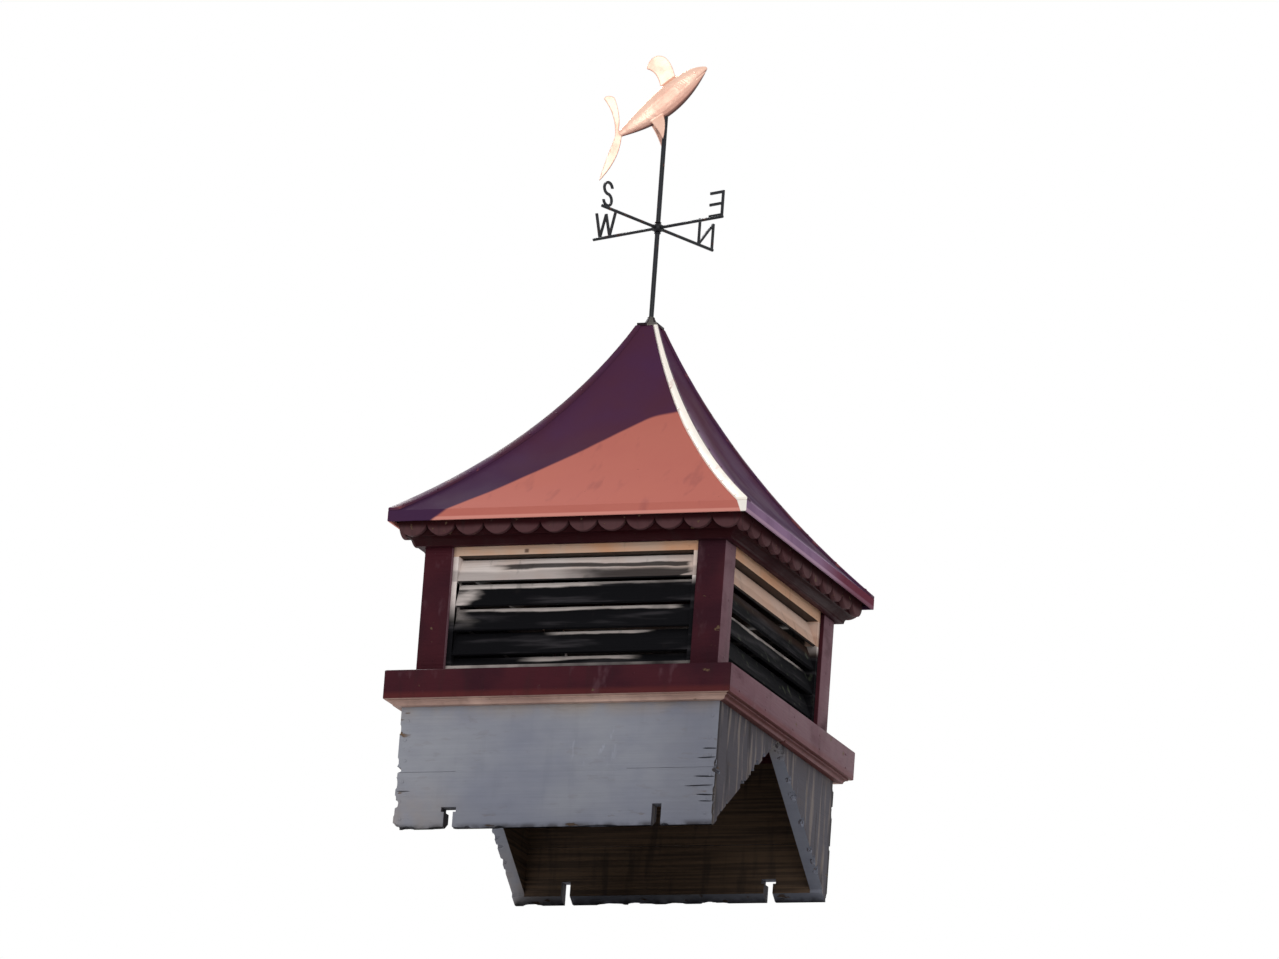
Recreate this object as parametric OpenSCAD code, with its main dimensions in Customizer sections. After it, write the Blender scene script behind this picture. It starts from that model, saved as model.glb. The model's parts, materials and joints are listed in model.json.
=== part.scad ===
/* [Base box] */
// Width of the square base box, outside its boards
base_w = 622; // [560:1:700]
// Thickness of the base boards
board_t = 25; // [18:1:32]
// Height of the lower front and back boards
lower_board_h = 106; // [80:1:140]
// Open line between the lower and the upper board
board_seam = 0.6; // [0.2:0.1:0.9]
// Rise of the garage roof for each unit of run, which the saddle straddles
roof_pitch = 0.75; // [0.5:0.01:0.9]
// Height of the side walls over the ridge line of the saddle
saddle_cover = 29; // [20:1:60]
// Flat left on the bottom edge of the front and back boards
foot_flat = 8; // [5:1:15]
// Spacing of the standing seams that the front and back boards step over
seam_pitch = 406; // [360:1:440]
// Width of each notch over a standing seam
notch_w = 18; // [10:1:26]
// Height of each notch over a standing seam
notch_h = 40; // [20:1:60]
// Width of the wider top of the left notch, over the folded head of its seam
notch_bar_w = 29; // [27:1:40]
// Height of that wider top
notch_bar_h = 9; // [5:1:14]

/* [Sill] */
// Reach of the sill's band from the base boards
sill_reach = 28; // [20:1:45]
// Height of the sill's outer band
sill_band_h = 54; // [40:1:70]
// Part of the band that laps down over the base boards
sill_lap = 23; // [10:1:35]
// Fall of the sloping top of the sill
sill_wash = 6; // [2:1:12]
// Flat left on the sill in front of the posts
post_margin = 4; // [2:1:10]
// Height of the cove under the sill
cove_h = 10; // [10:1:22]
// Reach of the cove from the base boards
cove_reach = 20; // [12:1:24]

/* [Louver section] */
// Setback of the corner posts behind the base boards
post_setback = 15; // [5:1:30]
// Side of each square corner post
post_side = 55; // [45:1:70]
// Height of the corner posts
post_h = 254; // [230:1:320]
// Setback of the louver frames behind the post faces
louver_setback = 8; // [4:1:15]
// Depth of the louver frames
louver_depth = 45; // [38:1:50]
// Width of the louver frame's side strips
stile_w = 10; // [10:1:30]
// Height of the louver frame's bottom strip
bottom_strip_h = 13; // [10:1:30]
// Height of the louver frame's top strip
top_strip_h = 33; // [30:1:60]
// Number of louver slats in each side
slat_count = 5; // [3:1:6]
// Thickness of a slat
slat_t = 6; // [4:1:9]
// Slope of a slat, down towards the outside
slat_angle = 68; // [60:1:72]
// Height between the top of a slat and the lower edge of the one above it
slat_gap = 3; // [2:0.5:12]
// Height of the lowest slat that hides behind the bottom strip
slat_sink = 25; // [16:0.5:32]

/* [Cornice] */
// Height of the crown moulding under the top plate
crown_h = 18; // [15:1:35]
// Reach of the crown moulding and the top plate from the posts
crown_reach = 29; // [20:1:45]
// Depth of the top plate's members
plate_depth = 80; // [60:1:90]
// Height of the roof's eaves over the underside of the top plate
eave_rise = 40; // [34:1:60]
// Thickness of the scalloped trim boards
trim_t = 10; // [6:1:14]
// Number of lobes on each trim board
lobe_count = 12; // [8:1:16]
// Depth of the lobes
lobe_depth = 21; // [12:1:26]
// Drop of the trim from the lower edge of the roof
trim_drop = 24; // [22:1:45]

/* [Roof] */
// Reach of the roof's eaves from the trim
eave_reach = 17; // [10:1:40]
// Height of the roof from its eaves to its flat top
roof_rise = 442; // [380:1:500]
// Radius of the roof's hollow curve
roof_radius = 1200; // [900:10:2000]
// Width of the flat top of the roof
peak_w = 34; // [32:1:60]
// Thickness of the roof skin with its sheathing
roof_t = 6; // [4:0.5:10]
// Height of the drip edge
drip_h = 20; // [14:1:30]
// Thickness of the drip edge
drip_t = 4; // [2:0.5:6]
// Width of the hip caps at the eaves
hip_cap_w = 29; // [15:1:40]
// Width of the hip caps where their upper taper starts
hip_cap_mid_w = 23; // [12:1:36]
// Distance from the roof's axis to the start of that taper
hip_cap_mid = 150; // [100:5:220]
// Width of the hip caps at the flat top
hip_cap_top_w = 9; // [8:1:20]
// Height of the hip caps over the roof
hip_cap_t = 4; // [2:0.5:6]
// Overhang of the square cap on the flat top
peak_cap_lap = 3; // [2:1:10]
// Thickness of the square cap
peak_cap_t = 5; // [3:1:8]

/* [Weathervane] */
// Diameter of the fixed rod
rod_d = 9; // [8:0.5:14]
// Height of the compass hub over the peak cap
hub_rise = 191; // [160:1:240]
// Diameter of the compass hub
hub_d = 20; // [19:1:34]
// Reach of the compass arms from the rod's axis
arm_reach = 160; // [140:1:220]
// Diameter of the compass arms
arm_d = 6; // [5:0.5:9]
// Height of the compass letters
letter_h = 50; // [35:1:60]
// Width of the strokes of the letters
stroke_w = 5; // [4:0.5:9]
// Thickness of the letter plates
letter_t = 3; // [2:0.5:6]
// Direction of the east arm, turned from the ridge line
east_angle = -20; // [-180:1:180]
// Height of the shark's mounting point over the peak cap
shark_rise = 404; // [380:1:480]
// Diameter of the spindle that carries the shark
spindle_d = 6; // [5:0.5:7]
// Running clearance around the spindle
spindle_play = 0.3; // [0.2:0.05:0.5]

/* [Shark] */
// Length of the shark's body from the tail root to the snout
shark_l = 212; // [160:1:240]
// Angle at which the shark climbs
shark_climb = 43; // [30:0.1:45]
// Direction in which the shark heads at rest
shark_heading = 21.7; // [-180:0.1:180]
// Distance of the tail root behind the rod's axis
tail_reach = 84; // [60:1:110]
// Half thickness of the body, as a share of half its depth
shark_flatness = 0.62; // [0.4:0.01:1]
// Thickness of the fin plates
fin_t = 4; // [2:0.5:6]
// Angle between each side fin and the vertical
side_fin_splay = 28; // [10:1:50]

/* [Hidden] */
$fn = 96;
arc_fn = 720;
eps = 0.01;
fit = 0.3;
far = 900;
base_half = base_w / 2;
wall_half = base_half - board_t;
saddle_h = base_half * roof_pitch;
base_h = saddle_h + saddle_cover;
sill_half = base_half + sill_reach;
body_half = base_half - post_setback;
plate_half = body_half + crown_reach;
trim_half = plate_half + trim_t;
roof_half = trim_half + eave_reach;
peak_half = peak_w / 2;
sill_z = base_h - sill_lap;
sill_edge_z = sill_z + sill_band_h;
post_z = sill_edge_z + sill_wash;
plate_z = post_z + post_h;
louver_half = body_half - post_side;
louver_face = body_half - louver_setback;
trim_row = 2 * trim_half + 2;
lobe_pitch = trim_row / lobe_count;
lobe_r = (pow(lobe_pitch / 2, 2) + pow(lobe_depth, 2)) / (2 * lobe_depth);
eave_z = plate_z + eave_rise;
peak_z = eave_z + roof_rise;
cap_z = peak_z + peak_cap_t;
roof_chord = norm([roof_half - peak_half, roof_rise]);
roof_apothem = sqrt(pow(roof_radius, 2) - pow(roof_chord / 2, 2));
roof_centre_h = (roof_half + peak_half) / 2 + roof_apothem * roof_rise / roof_chord;
roof_centre_z = eave_z + roof_rise / 2 + roof_apothem * (roof_half - peak_half) / roof_chord;
trim_top_z = roof_under(trim_half) - fit;
trim_bottom_z = eave_z - drip_h - trim_drop;
plate_top_z = roof_under(plate_half) - fit;
peak_block_h = 90;
socket_depth = 60;
hub_z = cap_z + hub_rise;
shoulder_z = hub_z + hub_d / 2 + 4;
shark_z = cap_z + shark_rise;
arm_socket = 4;
// The shark's outlines are drawn in hundredths of its body's length
share = shark_l / 100;
tail_z = shark_z + 15 * share / cos(shark_climb) - tail_reach * tan(shark_climb);
sleeve_seat = 18;
spindle_seat = 8;
body_rings = 24;
body_sides = 20;

// Height of the roof's outer face at a distance h from the axis
function roof_over(h) = roof_centre_z
    - sqrt(pow(roof_radius, 2) - pow(roof_centre_h - h, 2));
// Height of the roof's inner face at a distance h from the axis
function roof_under(h) = roof_centre_z
    - sqrt(pow(roof_radius + roof_t, 2) - pow(roof_centre_h - h, 2));
// Point at a share t of a cubic curve through four control points
function curve_at(p, t) = pow(1 - t, 3) * p[0] + 3 * t * pow(1 - t, 2) * p[1]
    + 3 * t * t * (1 - t) * p[2] + pow(t, 3) * p[3];
// Points along such a curve, without its last one
function curve(p, n = 8) = [for (i = [0:n - 1]) curve_at(p, i / n)];

// Places a part made for the front on another side, a quarter turn for each count
module side(turns) {
    rotate([0, 0, 90 * turns]) children();
}

// Draws a profile of distance from the axis and height along the front side
module front_run(length) {
    rotate([90, 0, -90]) linear_extrude(height = length, center = true) children();
}

// Keeps the quarter of a part between the two diagonals at the front
module mitred() {
    intersection() {
        children();
        linear_extrude(height = 2 * far) polygon([[0, 0], [-far, -far], [far, -far]]);
    }
}

// Outline of the garage roof under the saddle, along the ridge
module ridge_prism(length) {
    rotate([90, 0, 90]) linear_extrude(height = length, center = true)
        polygon([[0, saddle_h], [far, saddle_h - roof_pitch * far],
                 [-far, saddle_h - roof_pitch * far]]);
}

module upper_board() {
    color([0.62, 0.61, 0.60])
    translate([-base_half, -base_half, lower_board_h + board_seam])
        cube([base_w, board_t, base_h - lower_board_h - board_seam]);
}

// One board with a bevelled bottom edge, notched over two standing seams
module lower_board() {
    bevel_h = (board_t - foot_flat) * roof_pitch;
    color([0.60, 0.59, 0.58])
    difference() {
        front_run(base_w) polygon([
            [base_half, 0], [base_half, lower_board_h], [wall_half, lower_board_h],
            [wall_half, bevel_h], [base_half - foot_flat, 0]]);
        for (s = [-1, 1])
            translate([s * seam_pitch / 2 - notch_w / 2, -base_half - 1, -1])
                cube([notch_w, board_t + 2, notch_h + 1]);
        translate([-(seam_pitch + notch_bar_w) / 2, -base_half - 1, notch_h - notch_bar_h])
            cube([notch_bar_w, board_t + 2, notch_bar_h]);
    }
}

// One side wall between the front and back boards, cut to the saddle
module side_wall() {
    color([0.52, 0.49, 0.46])
    difference() {
        translate([wall_half, -wall_half, 0]) cube([board_t, 2 * wall_half, base_h]);
        ridge_prism(2 * far);
    }
}

// One mitred member of the sill, with a sloping top and a lap over the boards
module sill_member() {
    color([0.40, 0.15, 0.17])
    mitred() front_run(2 * sill_half) polygon([
        [sill_half, sill_z], [sill_half, sill_edge_z], [body_half + post_margin, post_z],
        [louver_half, post_z], [louver_half, base_h], [base_half, base_h],
        [base_half, sill_z]]);
}

module cove_profile() {
    difference() {
        translate([base_half, sill_z - cove_h]) square([cove_reach, cove_h]);
        translate([base_half + cove_reach, sill_z - cove_h]) circle(r = cove_h - 3);
    }
}

module sill_cove() {
    color([0.40, 0.15, 0.17])
    difference() {
        for (n = [0:3]) side(n) mitred() front_run(2 * sill_half) cove_profile();
        ridge_prism(2 * far);
    }
}

module corner_post() {
    color([0.42, 0.16, 0.17])
    translate([-body_half, -body_half, post_z]) cube([post_side, post_side, post_h]);
}

module slat_profile(rise) {
    run = rise / tan(slat_angle);
    back = slat_t * sin(slat_angle);
    drop = slat_t * cos(slat_angle);
    polygon([[0, 0], [-run, rise], [-run - back, rise - drop], [-back, -drop]]);
}

// One louver: a frame between two posts with its slats housed in the stiles
module louver() {
    frame_w = 2 * louver_half;
    open_h = post_h - bottom_strip_h - top_strip_h;
    slat_pitch = (open_h + slat_sink) / slat_count;
    lowest_z = post_z + bottom_strip_h - slat_sink;
    color([0.76, 0.68, 0.60])
    union() {
        difference() {
            translate([-louver_half, -louver_face, post_z])
                cube([frame_w, louver_depth, post_h]);
            translate([stile_w - louver_half, -louver_face - 1, post_z + bottom_strip_h])
                cube([frame_w - 2 * stile_w, louver_depth + 2, open_h]);
        }
        intersection() {
            for (i = [0:slat_count - 1])
                front_run(frame_w - stile_w)
                    translate([louver_face - 2, lowest_z + i * slat_pitch])
                        slat_profile(slat_pitch - slat_gap);
            translate([-louver_half, -louver_face, post_z])
                cube([frame_w, louver_depth, post_h]);
        }
    }
}

module crown_profile() {
    difference() {
        translate([body_half, plate_z - crown_h]) square([plate_half - body_half, crown_h]);
        translate([plate_half, plate_z - crown_h]) circle(r = crown_h - 3);
    }
}

module crown_moulding() {
    color([0.38, 0.14, 0.16])
    for (n = [0:3]) side(n) mitred() front_run(2 * plate_half) crown_profile();
}

module top_plate() {
    color([0.38, 0.14, 0.16])
    translate([0, 0, plate_z])
    linear_extrude(height = plate_top_z - plate_z) difference() {
        square(2 * plate_half, center = true);
        square(2 * (plate_half - plate_depth), center = true);
    }
}

// Face of a trim board with its row of round lobes, before its ends are mitred
module scallop_outline() {
    trim_h = trim_top_z - trim_bottom_z;
    translate([-trim_row / 2, trim_bottom_z]) intersection() {
        union() {
            translate([0, lobe_r]) square([trim_row, trim_h]);
            for (i = [0:lobe_count - 1])
                translate([(i + 0.5) * lobe_pitch, lobe_r]) circle(r = lobe_r);
        }
        square([trim_row, trim_h]);
    }
}

module scallop_board() {
    color([0.50, 0.30, 0.28])
    mitred() translate([0, -plate_half, 0])
        rotate([90, 0, 0]) linear_extrude(height = trim_t) scallop_outline();
}

// Band between two depths under the roof's hollow curve
module roof_band(outer, inner) {
    difference() {
        translate([roof_centre_h, roof_centre_z]) circle(r = roof_radius + inner, $fn = arc_fn);
        translate([roof_centre_h, roof_centre_z]) circle(r = roof_radius + outer, $fn = arc_fn);
    }
}

module roof_panel() {
    color([0.66, 0.38, 0.33])
    mitred() front_run(2 * roof_half) {
        intersection() {
            roof_band(0, roof_t);
            translate([0, eave_z - drip_h]) square([roof_half, roof_rise + drip_h]);
        }
        translate([roof_half - drip_t, eave_z - drip_h])
            square([drip_t, drip_h - 1]);
    }
}

// The half of a hip cap that lies on the panel at its left
module half_hip_cap() {
    mitred() front_run(2 * roof_half) intersection() {
        roof_band(-hip_cap_t - fit, -fit);
        translate([0, eave_z]) square([roof_half, roof_rise]);
    }
}

// Plan of one hip cap along its diagonal, which widens quickly below the flat top and then slowly
module hip_cap_plan() {
    corners = [
        [0, hip_cap_top_w / 2],
        [sqrt(2) * peak_half, hip_cap_top_w / 2],
        [sqrt(2) * hip_cap_mid, hip_cap_mid_w / 2],
        [sqrt(2) * roof_half, hip_cap_w / 2],
        [far, hip_cap_w / 2]];
    polygon(concat(corners, [for (i = [4:-1:0]) [corners[i][0], -corners[i][1]]]));
}

module hip_caps() {
    color([0.80, 0.52, 0.44])
    for (n = [0:3]) side(n) intersection() {
        union() {
            half_hip_cap();
            side(1) half_hip_cap();
        }
        rotate([0, 0, -45]) linear_extrude(height = 2 * far) hip_cap_plan();
    }
}

// The block under the top of the roof that holds the rod
module peak_block() {
    color([0.55, 0.42, 0.30])
    difference() {
        intersection_for (n = [0:1]) side(n) front_run(2 * roof_half) difference() {
            translate([-roof_half, peak_z - peak_block_h])
                square([2 * roof_half, peak_block_h]);
            for (m = [0:1]) mirror([m, 0])
                translate([roof_centre_h, roof_centre_z])
                    circle(r = roof_radius + roof_t + fit, $fn = arc_fn);
        }
        translate([0, 0, peak_z - socket_depth]) cylinder(d = rod_d + fit, h = far);
    }
}

// Square cap on the flat top, with a flared collar around the rod
module peak_cap() {
    collar_h = 14;
    cap_w = peak_w + 2 * peak_cap_lap;
    color([0.30, 0.12, 0.14])
    difference() {
        union() {
            translate([-cap_w / 2, -cap_w / 2, peak_z]) cube([cap_w, cap_w, peak_cap_t]);
            translate([0, 0, cap_z]) cylinder(d1 = 1.1 * peak_half + rod_d, d2 = rod_d + 4, h = collar_h);
        }
        translate([0, 0, peak_z - 1]) cylinder(d = rod_d + fit, h = far);
    }
}

module vane_rod() {
    spindle_h = shark_z + spindle_seat - shoulder_z;
    color([0.08, 0.08, 0.09])
    union() {
        translate([0, 0, peak_z - socket_depth])
            cylinder(d = rod_d, h = shoulder_z - peak_z + socket_depth);
        translate([0, 0, shoulder_z - eps]) cylinder(d = spindle_d, h = spindle_h + eps);
    }
}

module compass_hub() {
    color([0.08, 0.08, 0.09])
    translate([0, 0, hub_z])
    difference() {
        sphere(d = hub_d);
        translate([0, 0, -hub_d]) cylinder(d = rod_d + fit, h = 2 * hub_d);
        for (n = [0:3])
            rotate([0, 90, east_angle + 90 * n])
                translate([0, 0, hub_d / 2 - arm_socket]) cylinder(d = arm_d + fit, h = hub_d);
    }
}

// Straight stroke between two points
module stroke(p, q) {
    run = q - p;
    translate(p) rotate(atan2(run[1], run[0])) translate([0, -stroke_w / 2])
        square([norm(run), stroke_w]);
}

module letter_n(w = 44) {
    edge = stroke_w / 2;
    square([stroke_w, letter_h]);
    translate([w - stroke_w, 0]) square([stroke_w, letter_h]);
    intersection() {
        stroke([edge, letter_h], [w - edge, 0]);
        square([w, letter_h]);
    }
}

module letter_e(w = 34) {
    square([stroke_w, letter_h]);
    for (z = [0, (letter_h - stroke_w) / 2, letter_h - stroke_w])
        translate([0, z]) square([w, stroke_w]);
}

module letter_w(w = 55) {
    edge = stroke_w / 2;
    intersection() {
        union() {
            stroke([edge, letter_h + edge], [w * 0.28, 0]);
            stroke([w * 0.28, 0], [w / 2, letter_h * 0.9]);
            stroke([w / 2, letter_h * 0.9], [w * 0.72, 0]);
            stroke([w * 0.72, 0], [w - edge, letter_h + edge]);
        }
        square([w, letter_h]);
    }
}

// A ring that lacks the quarter where the S opens
module bow(r) {
    difference() {
        circle(r = r);
        circle(r = r - stroke_w);
        rotate(-80) square([2 * r, 2 * r]);
    }
}

module letter_s() {
    r = (letter_h + stroke_w) / 4;
    translate([r, r]) rotate(180) bow(r);
    translate([r, letter_h - r]) bow(r);
}

// One arm with a letter plate that stands on its outer end
module compass_arm(turn) {
    seat = hub_d / 2 - arm_socket;
    color([0.08, 0.08, 0.09])
    translate([0, 0, hub_z]) rotate([0, 0, east_angle + turn])
    union() {
        translate([seat, 0, 0]) rotate([0, 90, 0]) cylinder(d = arm_d, h = arm_reach - seat);
        translate([arm_reach, 0, arm_d / 2 - 1.5]) mirror([1, 0, 0]) rotate([90, 0, 0])
            linear_extrude(height = letter_t, center = true) children();
    }
}

// Tube that turns on the spindle and carries the shark
module vane_sleeve() {
    bore_top = shark_z + spindle_seat + spindle_play;
    color([0.10, 0.09, 0.09])
    difference() {
        translate([0, 0, shoulder_z + spindle_play])
            cylinder(d = rod_d, h = shark_z + sleeve_seat - shoulder_z - spindle_play);
        translate([0, 0, shoulder_z])
            cylinder(d = spindle_d + 2 * spindle_play, h = bore_top - shoulder_z);
    }
}

// Turns a drawing of the shark's side into its place over the rod
module shark_place() {
    rotate([0, 0, shark_heading]) translate([-tail_reach, 0, tail_z])
        rotate([0, -shark_climb, 0]) rotate([90, 0, 0]) children();
}

back_line = share * [[0, 2.6], [30, 9.5], [78, 20], [100, 1.5]];
belly_line = share * [[0, -2.6], [30, -15], [58, -21.5], [100, -1]];

function body_ring(t) = let (
        top = curve_at(back_line, t),
        low = curve_at(belly_line, t),
        mid = (top + low) / 2,
        arm = (top - low) / 2,
        wide = shark_flatness * norm(arm)
    ) [for (k = [0:body_sides - 1]) let (a = 360 * k / body_sides)
        [mid[0] + arm[0] * cos(a), mid[1] + arm[1] * cos(a), wide * sin(a)]];

// Closed solid of oval rings between the back line and the belly line
module shark_solid() {
    points = [for (i = [0:body_rings - 1]) each body_ring(i / (body_rings - 1))];
    skin = [for (i = [0:body_rings - 2], k = [0:body_sides - 1])
        let (n = (k + 1) % body_sides)
        [i * body_sides + k, (i + 1) * body_sides + k, (i + 1) * body_sides + n, i * body_sides + n]];
    tail_cap = [for (k = [0:body_sides - 1]) k];
    nose_cap = [for (k = [0:body_sides - 1]) body_rings * body_sides - 1 - k];
    polyhedron(points, concat(skin, [tail_cap], [nose_cap]), convexity = 4);
}

module shark_body() {
    color([0.80, 0.50, 0.36])
    difference() {
        shark_place() shark_solid();
        cylinder(d = rod_d + fit, h = shark_z + sleeve_seat + fit);
    }
}

module fin_plate() {
    linear_extrude(height = fin_t, center = true) children();
}

// Hooked fin with an upright leading edge and a tip that points to the tail
module dorsal_outline() {
    polygon(share * concat(
        curve([[70, 7], [76.5, 17], [81, 31], [73, 36]]),
        curve([[73, 36], [68.5, 38.6], [62, 37.5], [57, 32.5]]),
        curve([[57, 32.5], [62.5, 26], [60, 17], [53, 7]]),
        [[53, 7]]));
}

module dorsal_fin() {
    color([0.84, 0.56, 0.42])
    shark_place() difference() {
        fin_plate() dorsal_outline();
        shark_solid();
    }
}

// Crescent with a short blunt upper lobe and a long thin lower one
module tail_outline() {
    polygon(share * concat(
        curve([[0, 2.6], [8, 8], [14, 18], [18, 29.5]]),
        curve([[18, 29.5], [17.3, 33.5], [12.8, 36.5], [9.8, 35]]),
        curve([[9.8, 35], [9.5, 21], [3, 9], [-5, 1]]),
        curve([[-5, 1], [-17, -6], [-31, -14], [-42, -22.2]]),
        curve([[-42, -22.2], [-29, -20.5], [-12, -15.5], [0, -2.6]]),
        [[0, -2.6]]));
}

module tail_fin() {
    color([0.84, 0.56, 0.42])
    shark_place() fin_plate() tail_outline();
}

module side_fin_outline() {
    polygon(share * concat(
        curve([[6, 2], [4, -6], [-2, -15], [-12, -24]]),
        curve([[-12, -24], [-9, -15], [-8, -6], [-8, 2]]),
        [[-8, 2]]));
}

// The pair of fins low on the sides, just behind the rod
module side_fins() {
    color([0.82, 0.54, 0.40])
    difference() {
        shark_place() for (s = [-1, 1])
            translate(share * [36, -9.5, s * 4.5]) rotate([-s * side_fin_splay, 0, 0])
                fin_plate() side_fin_outline();
        shark_place() shark_solid();
    }
}

upper_board();  // base_front_upper
lower_board();  // base_front_lower
side(2) upper_board();  // base_back_upper
side(2) lower_board();  // base_back_lower
side(2) side_wall();  // base_left
side_wall();  // base_right
side(0) sill_member();  // sill_front
side(1) sill_member();  // sill_right
side(2) sill_member();  // sill_back
side(3) sill_member();  // sill_left
sill_cove();
side(0) corner_post();  // post_front_left
side(1) corner_post();  // post_front_right
side(2) corner_post();  // post_back_right
side(3) corner_post();  // post_back_left
side(0) louver();  // louver_front
side(1) louver();  // louver_right
side(2) louver();  // louver_back
side(3) louver();  // louver_left
crown_moulding();
top_plate();
side(0) scallop_board();  // scallop_front
side(1) scallop_board();  // scallop_right
side(2) scallop_board();  // scallop_back
side(3) scallop_board();  // scallop_left
side(0) roof_panel();  // roof_front
side(1) roof_panel();  // roof_right
side(2) roof_panel();  // roof_back
side(3) roof_panel();  // roof_left
hip_caps();
peak_block();
peak_cap();
vane_rod();
compass_hub();
compass_arm(90) letter_n();  // compass_north
compass_arm(0) letter_e();  // compass_east
compass_arm(270) letter_s();  // compass_south
compass_arm(180) letter_w();  // compass_west
vane_sleeve();
shark_body();
dorsal_fin();
side_fins();
tail_fin();
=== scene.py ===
"""Dresses the garage cupola: old boards, paint, mildew, roof metal, small hardware and the copper shark."""
import json
import math
import random

import bmesh
import bpy
from bpy.props import FloatProperty, FloatVectorProperty, PointerProperty
from mathutils import Matrix, Quaternion, Vector

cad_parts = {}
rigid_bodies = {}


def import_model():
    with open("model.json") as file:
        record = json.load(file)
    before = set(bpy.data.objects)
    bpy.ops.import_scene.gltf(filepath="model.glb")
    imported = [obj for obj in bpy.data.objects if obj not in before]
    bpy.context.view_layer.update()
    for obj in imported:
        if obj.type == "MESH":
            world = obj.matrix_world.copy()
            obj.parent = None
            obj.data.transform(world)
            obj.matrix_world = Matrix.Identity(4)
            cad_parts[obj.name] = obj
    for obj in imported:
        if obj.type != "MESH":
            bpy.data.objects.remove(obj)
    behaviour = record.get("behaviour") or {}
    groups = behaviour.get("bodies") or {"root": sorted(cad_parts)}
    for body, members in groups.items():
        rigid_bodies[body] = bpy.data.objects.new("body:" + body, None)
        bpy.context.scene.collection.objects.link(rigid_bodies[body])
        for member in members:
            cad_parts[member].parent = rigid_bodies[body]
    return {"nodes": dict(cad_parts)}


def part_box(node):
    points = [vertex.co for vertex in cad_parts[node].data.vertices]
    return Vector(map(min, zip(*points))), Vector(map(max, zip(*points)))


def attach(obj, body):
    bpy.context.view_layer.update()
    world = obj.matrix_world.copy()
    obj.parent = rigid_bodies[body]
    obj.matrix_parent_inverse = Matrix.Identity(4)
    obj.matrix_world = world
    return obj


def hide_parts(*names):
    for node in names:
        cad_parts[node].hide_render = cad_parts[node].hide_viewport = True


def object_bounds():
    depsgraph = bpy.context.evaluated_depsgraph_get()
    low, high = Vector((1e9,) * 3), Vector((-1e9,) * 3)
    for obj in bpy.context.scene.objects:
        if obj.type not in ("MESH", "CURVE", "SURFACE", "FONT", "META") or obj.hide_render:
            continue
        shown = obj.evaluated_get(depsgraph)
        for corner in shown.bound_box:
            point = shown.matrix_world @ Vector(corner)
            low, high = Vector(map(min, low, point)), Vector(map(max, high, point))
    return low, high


bl_info = {
    "name": "Garage Cupola",
    "version": (1, 0, 0),
    "blender": (4, 5, 0),
    "location": "View3D > Sidebar > Cupola",
    "description": "Gives the packed cupola its boards, paint, roof metal, hardware and weathervane figure",
    "category": "Object",
}

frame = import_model()
CAD_NODES = frame["nodes"]
CAD_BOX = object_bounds()

MM = 0.001
SIDES = ("front", "right", "back", "left")
CORNERS = ("front_left", "front_right", "back_right", "back_left")
FRONTWARD = (0, -1, 0)

BASE_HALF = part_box("base_front_upper")[1].x
BOARD_T = BASE_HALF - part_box("base_left")[1].y
BASE_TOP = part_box("base_front_upper")[1].z
BOARD_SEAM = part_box("base_front_lower")[1].z
SADDLE_SLOPE = 0.75
SILL_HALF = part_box("sill_front")[1].x
SILL_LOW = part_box("sill_front")[0].z
POST_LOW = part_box("post_front_right")[0].z
POST_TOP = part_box("post_front_right")[1].z
POST_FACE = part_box("post_front_right")[1].x
POST_SIDE = POST_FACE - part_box("post_front_right")[0].x
LOUVER_FACE = -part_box("louver_front")[0].y
LOUVER_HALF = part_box("louver_front")[1].x
TOP_STRIP = POST_TOP - 33 * MM
BOTTOM_STRIP = POST_LOW + 13 * MM
SLATS = 5
SLAT_LAP = 25 * MM
SLAT_PITCH = (TOP_STRIP - BOTTOM_STRIP + SLAT_LAP) / SLATS
SLAT_TOP = TOP_STRIP - 3 * MM
STILE = 10 * MM
TRIM_FACE = -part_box("scallop_front")[0].y
TRIM_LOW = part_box("scallop_front")[0].z
ROOF_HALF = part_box("roof_front")[1].x
DRIP_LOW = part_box("roof_front")[0].z
PEAK_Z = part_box("roof_front")[1].z
DRIP_H = 20 * MM
EAVE_Z = DRIP_LOW + DRIP_H
CAP_TOP = PEAK_Z + 5 * MM
PEAK_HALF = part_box("peak_cap")[1].x - 3 * MM
ROOF_RADIUS = 1.2
HIP_WIDTHS = (
    # Distance from the axis, and the hip cap's width there
    (PEAK_HALF, 9 * MM),
    (150 * MM, 23 * MM),
    (ROOF_HALF, 29 * MM),
)
HUB = (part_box("compass_hub")[0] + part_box("compass_hub")[1]) / 2
ARM_TURN = math.radians(-20)
SHARK_UNIT = 2.12 * MM
SHARK_ROOT = Vector((-84 * MM, 0, HUB.z + 178.15 * MM))
SHARK_CLIMB = math.radians(43)
SHARK_HEADING = math.radians(21.7)


def shade(red, green, blue):
    """Turns a colour as it is seen on a screen, from 0 to 255, into the linear one that Blender keeps."""
    linear = []
    for part in (red, green, blue):
        part /= 255
        linear.append(part / 12.92 if part <= 0.04045 else ((part + 0.055) / 1.055) ** 2.4)
    return tuple(linear)


def colour_setting(name, description, red, green, blue):
    """A colour that a user may change."""
    return FloatVectorProperty(
        name=name, description=description, default=shade(red, green, blue),
        subtype="COLOR", size=3, min=0.0, max=1.0)


def length_setting(name, description, default):
    """A length in metres that a user may change."""
    return FloatProperty(
        name=name, description=description, default=default,
        min=0.0, subtype="DISTANCE", unit="LENGTH", precision=4)


def angle_setting(name, description, degrees):
    """An angle that a user may change."""
    return FloatProperty(
        name=name, description=description, default=math.radians(degrees),
        subtype="ANGLE", unit="ROTATION")


def power_setting(name, description, watts):
    """A lamp's power that a user may change."""
    return FloatProperty(
        name=name, description=description, default=watts,
        min=0.0, subtype="POWER", unit="POWER")


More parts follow.
